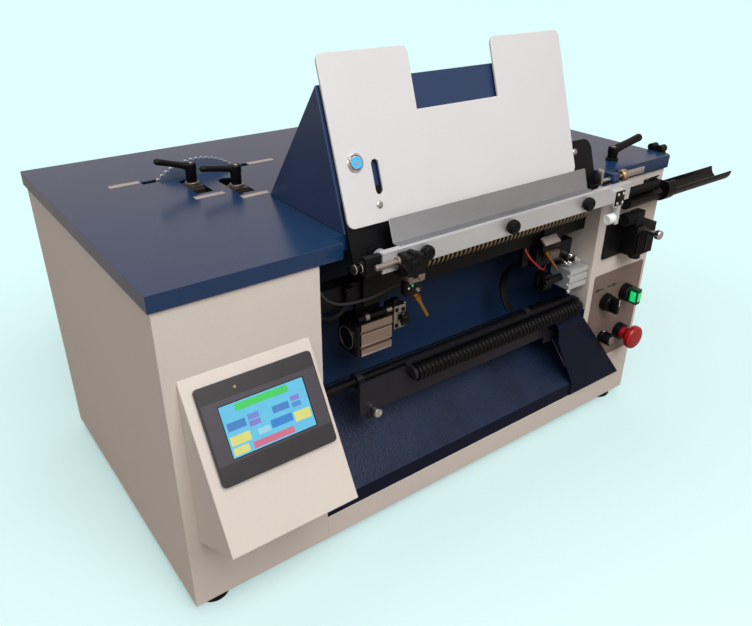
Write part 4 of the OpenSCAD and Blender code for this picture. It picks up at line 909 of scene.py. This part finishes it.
mushroom = turned(bmesh.new(), panel(estop_x, 0, estop_z), (0, -1, 0), (
    (2.9, 0), (2.9, 8.9), (17, 8.9), (18, 10.4), (21, 12.4), (23.4, 15.4), (24.2, 17), (25.5, 17.5), (30.6, 17.4),
    (32.2, 16.5), (33.5, 14.5), (34.4, 11.5), (34.8, 7.5), (35, 3.5), (35, 0)), 0, 56)
make("estop_made", mushroom, [red], ["estop_button"])
for node, x, z, radius, half, out, lens in (("selector_knob", sel_x, sel_z, 12, 3.5, 12, 0),
        ("lit_switch", lit_x, lit_z, 12.5, 5.5, 14, 1)):
    switch = turned(bmesh.new(), panel(x, 0, z), (0, -1, 0), (
        (-5, 0), (-5, 4), (5.3, 4), (5.3, radius - 0.6), (5.9, radius), (10.8, radius), (11.8, radius - 0.6),
        (12, radius - 1.6),
        (12, 0)), 0, 48)
    block(switch, panel(x - half, -12 - out, z - radius + 0.4), panel(x + half, -11, z + radius - 0.4), 2.0,
        2 * lens)
    if lens:
        block(switch, panel(x - half + 2, -12.2 - out, z - 7), panel(x + half - 2, -10 - out, z + 7), 0.8, 1)
        block(switch, panel(x - half - 0.25, -10 - out, z - 8), panel(x - half + 2, -14.5, z + 8), 0.8, 1)
    else:
        block(switch, panel(x - 0.7, -12 - out - 0.1, z + 1), panel(x + 0.7, -11 - out, z + radius - 1.2), 0.05, 1)
    make(node + "_made", switch, [black_plastic, green_glow if lens else white_ink, green_dim], [node])
dial = turned(bmesh.new(), panel(speed_x, 0, speed_z), (0, -1, 0), (
    (-4, 0), (-4, 3), (3.3, 3), (3.3, 9), (6, 9), (6.6, 8.4), (19, 8.1), (20, 7.6), (20.2, 7.0), (20.2, 6.4),
    (20.7, 6.2), (20.9, 5.6), (20.9, 0)), 0, 48)
for face in dial.faces:
    face.material_index = 1 if plate_front - face.calc_center_median().y > 20.25 * mm else 0
block(dial, panel(speed_x - 0.5, -6.5, speed_z + 8.2), panel(speed_x + 0.5, -3.4, speed_z + 9.05), 0.05, 2)
make("speed_knob_made", dial, [black_plastic, satin_steel, white_ink], ["speed_knob"])
ridge = block(bmesh.new(), (7.6 * mm, -18.8 * mm, -0.55 * mm), (8.95 * mm, -7 * mm, 0.55 * mm), 0.25)
placed(row_tree, "speed_knob_ribs", {
    "Piece": pattern("speed_rib", ridge), "Count": 20, "Start": panel(speed_x, 0, speed_z),
    "Turn": (0, math.pi / 10, 0),
    "Finish": black_plastic}, body="speed_knob")

# Coil trough: a black half pipe in a collar on the right housing, with a ribbed guide hose above a smaller half
# pipe between it and the bar. Satin plastic shows long soft streaks of light.
satin_black = coat("satin_black_plastic", "#0c0c0d", 0.34, 1.4, 0.02, patch=0.08, Specular_IOR_Level=0.13)
soften("trough", satin_black, 0.4)
hose_rib = turned(bmesh.new(), (0, 0, 0), (1, 0, 0),
    ((0, 5.3), (0.3, 5.9), (0.9, 6.2), (1.7, 6.2), (2.3, 5.9), (2.6, 5.3)), 0, 32)
hose_start, hose_end = right(15, -23, -26.5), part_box("right_housing")[1].x - 46 * mm
placed(row_tree, "guide_hose_ribs", {
    "Piece": pattern("hose_rib", hose_rib), "Count": int((hose_end - hose_start.x) / (4 * mm)), "Start": hose_start,
    "Step": (4 * mm, 0, 0), "Finish": satin_black}, body="machine")

# Drive: a black cast motor block on a plate with cooling fins, a clamp knob of polished steel, and a grooved
# rubber feed roller.
soften("drive_unit", black_coat, 1.0)
cool = block(bmesh.new(), (0, -2.2 * mm, 0), (2.2 * mm, 0.6 * mm, 31 * mm), 0.5)
placed(row_tree, "drive_fins", {
    "Piece": pattern("drive_fin", cool), "Count": 5, "Start": right(50, -28, -119), "Step": (4.4 * mm, 0, 0),
    "Finish": black_coat}, body="machine")
grip = turned(bmesh.new(), right(75, -28.3, -91), (0, -1, 0), (
    (-13, 0), (-13, 3), (0, 3), (0, 4), (10.6, 4), (10.8, 5.8), (11.4, 6.4), (16.4, 6.4), (17.3, 5.8), (17.7, 4.4),
    (17.7, 0)))
make("drive_knob_made", grip, [chrome], ["drive_knob"])
tyre = turned(bmesh.new(), right(46.7, -18, -67), (-1, 0, 0), (
    (-16, 0), (-16, 3), (0, 3), (0, 8.2), (0.6, 9), (4.6, 9), (5, 8.2), (6, 8.2), (6.4, 9), (10, 9), (10.4, 8.2),
    (11.4, 8.2),
    (11.8, 9), (15.2, 9), (15.6, 8.2), (16.4, 8.2), (16.8, 9), (20, 9), (20.6, 8.3), (20.6, 4), (19.8, 3.6),
    (19.8, 0)))
make("feed_roller_made", tyre, [rubber], ["feed_roller"])

# Clamp levers: slides of brown-oxide steel in the lid's slots, each with a stud and a black moulded lever on a
# pale bushing, with a screw in its top; the third lever stands on the lid's right end. The slides' brown is
# darkened as painted shade of the slots around them.
# The slides' dark brown: partly their oxide steel, partly painted shade inside the lid's slots.
brown_oxide_and_slot_shade = coat("brown_oxide_steel_with_painted_slot_shade", "#2e2620", 0.45, 0.9, 0.03, patch=0.12, metallic=0.3)
for node in ("slide_block_1", "slide_block_2"):
    soften(node, brown_oxide_and_slot_shade, 0.6)
for node, spot, high, toward, rise, long, stud in (
        ("lever_1", left(-18, 251, 0), 26, -1, 17, 40, 0), ("lever_2", left(21.5, 214, 0), 26, -1, 9, 40, 0),
        ("lever_3", right(44, 28, 0), 18, 1, 10, 52, 1)):
    thick = 1.25 if stud else 0.9
    lever = turned(bmesh.new(), spot, (0, 0, 1), (
        (0.3, 3.9), (0.3, 8.2), (2.6, 8.2), (3.2, 7.6), (3.2, 3.9)), 0 if stud else 1, 32, hollow=True)
    turned(lever, spot, (0, 0, 1), (
        (3.2, 3.9), (3.2, 6.0), (4.0, 6.4), (high - 10, 6.4), (high - 8, 7.0), (high - 1.5, 7.0), (high - 0.4, 6.2),
        (high, 5.2),
        (high, 3.4), (high - 0.8, 3.2), (high - 0.8, 0), (high - 3, 0), (high - 3, 3.9)), 0, 32)
    turned(lever, spot + Vector((0, 0, (high - 0.8) * mm)), (0, 0, 1),
        ((-0.4, 3.0), (0.5, 3.0), (0.9, 2.6), (0.9, 1.5), (0.2, 1.4), (0.2, 0)), 2, 6)
    way = Vector((toward * math.cos(math.radians(rise)), 0, math.sin(math.radians(rise))))
    turned(lever, spot + Vector((0, 0, (high - 5) * mm)), way, (
        (3, 0), (3, 5.0), (8, 4.6 * thick), (14, 4.2 * thick), (long * 0.6, 3.9 * thick), (long - 5, 4.1 * thick),
        (long, 4.2 * thick),
        (long + 2, 3.8 * thick), (long + 3.4, 2.6 * thick), (long + 4.1, 1.2), (long + 4.2, 0)), 0, 32)
    if stud:
        turned(lever, spot, (0, 0, 1), ((-14, 0), (-14, 5.5), (-2.4, 5.5), (-2.4, 2.7), (4, 2.7), (4, 0)), 1, 24)
    make(node + "_made", lever, [black_plastic, satin_steel, steel], [node])

# Index wheel: a dark steel disc that stands in the lid's thin slot, with bright plated hooked teeth.
# It turns on its stand's axle, and the teeth are repeated about the axis by a node tree.
plated = coat("white_plated_steel", "#eceeec", 0.3, 0.8, 0.01, patch=0.04, metallic=0.15)
dark_disc = coat("dark_steel_disc", "#6f7c92", 0.4, 1.2, 0.02, patch=0.08, metallic=0.5)
soften("index_wheel", dark_disc, 0.2)
wheel_at, teeth = left(4, 287, -60), 72
tooth = drawn(bmesh.new(), [(x * mm, -1.2 * mm, z * mm) for x,
    z in ((-2.4, 76.6), (1.6, 76.6), (2.4, 78.4), (1.4, 79.9), (-0.6, 79.9), (-1.0, 78.4))],
              (0, 2.4 * mm, 0))
placed(row_tree, "index_teeth",
    {"Piece": pattern("tooth", tooth), "Count": teeth, "Start": wheel_at, "Turn": (0, 2 * math.pi / teeth, 0),
                                 "Finish": plated}, body="index_wheel")

# Star knob and side stop: a black lobed knob on the lid's right side, and a pale steel stop plate on a rod with
# a rounded brass thumb nut.
soften("star_knob", black_plastic, 1.0)
stop_plate = bmesh.new()
side_low, side_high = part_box("side_stop")
side_y = ((side_low + side_high) / 2).y
block(stop_plate, (right_in - 33 * mm, side_y - 5 * mm, lid_top - 8.5 * mm),
    (right_in - 30 * mm, side_y + 5 * mm, lid_top + 10 * mm), 0.9)
turned(stop_plate, (right_in - 31 * mm, side_y, lid_top - 6 * mm), (1, 0, 0),
    ((0, 0), (0, 2.5), (55, 2.5), (56, 1.8), (56, 0)), 0, 24)
turned(stop_plate, (right_in + 11 * mm, side_y, lid_top - 6 * mm), (1, 0, 0), (
    (0, 2.4), (0, 5.4), (0.8, 6.9), (2.4, 7.7), (5, 7.95), (7.6, 7.7), (9.2, 6.9), (10, 5.4), (10, 2.4)), 1, 40,
    hollow=True)
champagne = coat("pale_champagne_brass", "#b5a285", 0.3, 0.7, 0.015, patch=0.08, metallic=1.0)
make("side_stop_made", stop_plate, [steel, champagne], ["side_stop"])

# Screws: round-head steel screws with a hexagon recess, one on each fixing point of backrest and rear panel, and
# two smaller ones in the guard.
head = turned(bmesh.new(), (0, 0, 0), (0, 0, 1),
    ((-0.3, 0), (-0.3, 3.6), (0.4, 3.9), (1.0, 3.6), (1.5, 2.8), (1.7, 1.9), (1.7, 1.7)), 0, 24)
guard_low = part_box("end_guard")[0]
out, back = Vector((0, -1, 0)), Vector((0, 1, 0))
fixings = [(rest @ Vector((left_in + 82 * mm, 24 * mm, 0)), rest_out)]
for x in (panel_low.x + 13 * mm, (panel_low.x + panel_high.x) / 2, panel_high.x - 13 * mm):
    for z in (foot_high.z + 15 * mm, lid_top - 47 * mm):
        fixings.append((Vector((x, panel_high.y, z)), back))
fixings.append((rest @ Vector((right_in - 47 * mm, 30 * mm, -3 * mm)), rest_out))
placed(points_tree, "fixing_screws", {"Piece": pattern("screw", head), "Finish": steel}, ["screws"],
       base=points_mesh("screw_points", fixings))
small_head = turned(bmesh.new(), (0, 0, 0), (0, 0, 1),
    ((-0.3, 0), (-0.3, 2.4), (0.4, 2.5), (1.2, 2.0), (1.5, 1.3), (0.6, 1.1), (0.6, 0)), 0, 24)
guard_points = [(Vector((right_in - 7 * mm, front - 2 * mm, z)), out) for z in (lid_top - 221 * mm,
    guard_low.z + 37 * mm)]
placed(points_tree, "guard_screws", {"Piece": pattern("guard_screw", small_head), "Finish": black_plastic},
    body="machine",
       base=points_mesh("guard_screw_points", guard_points))
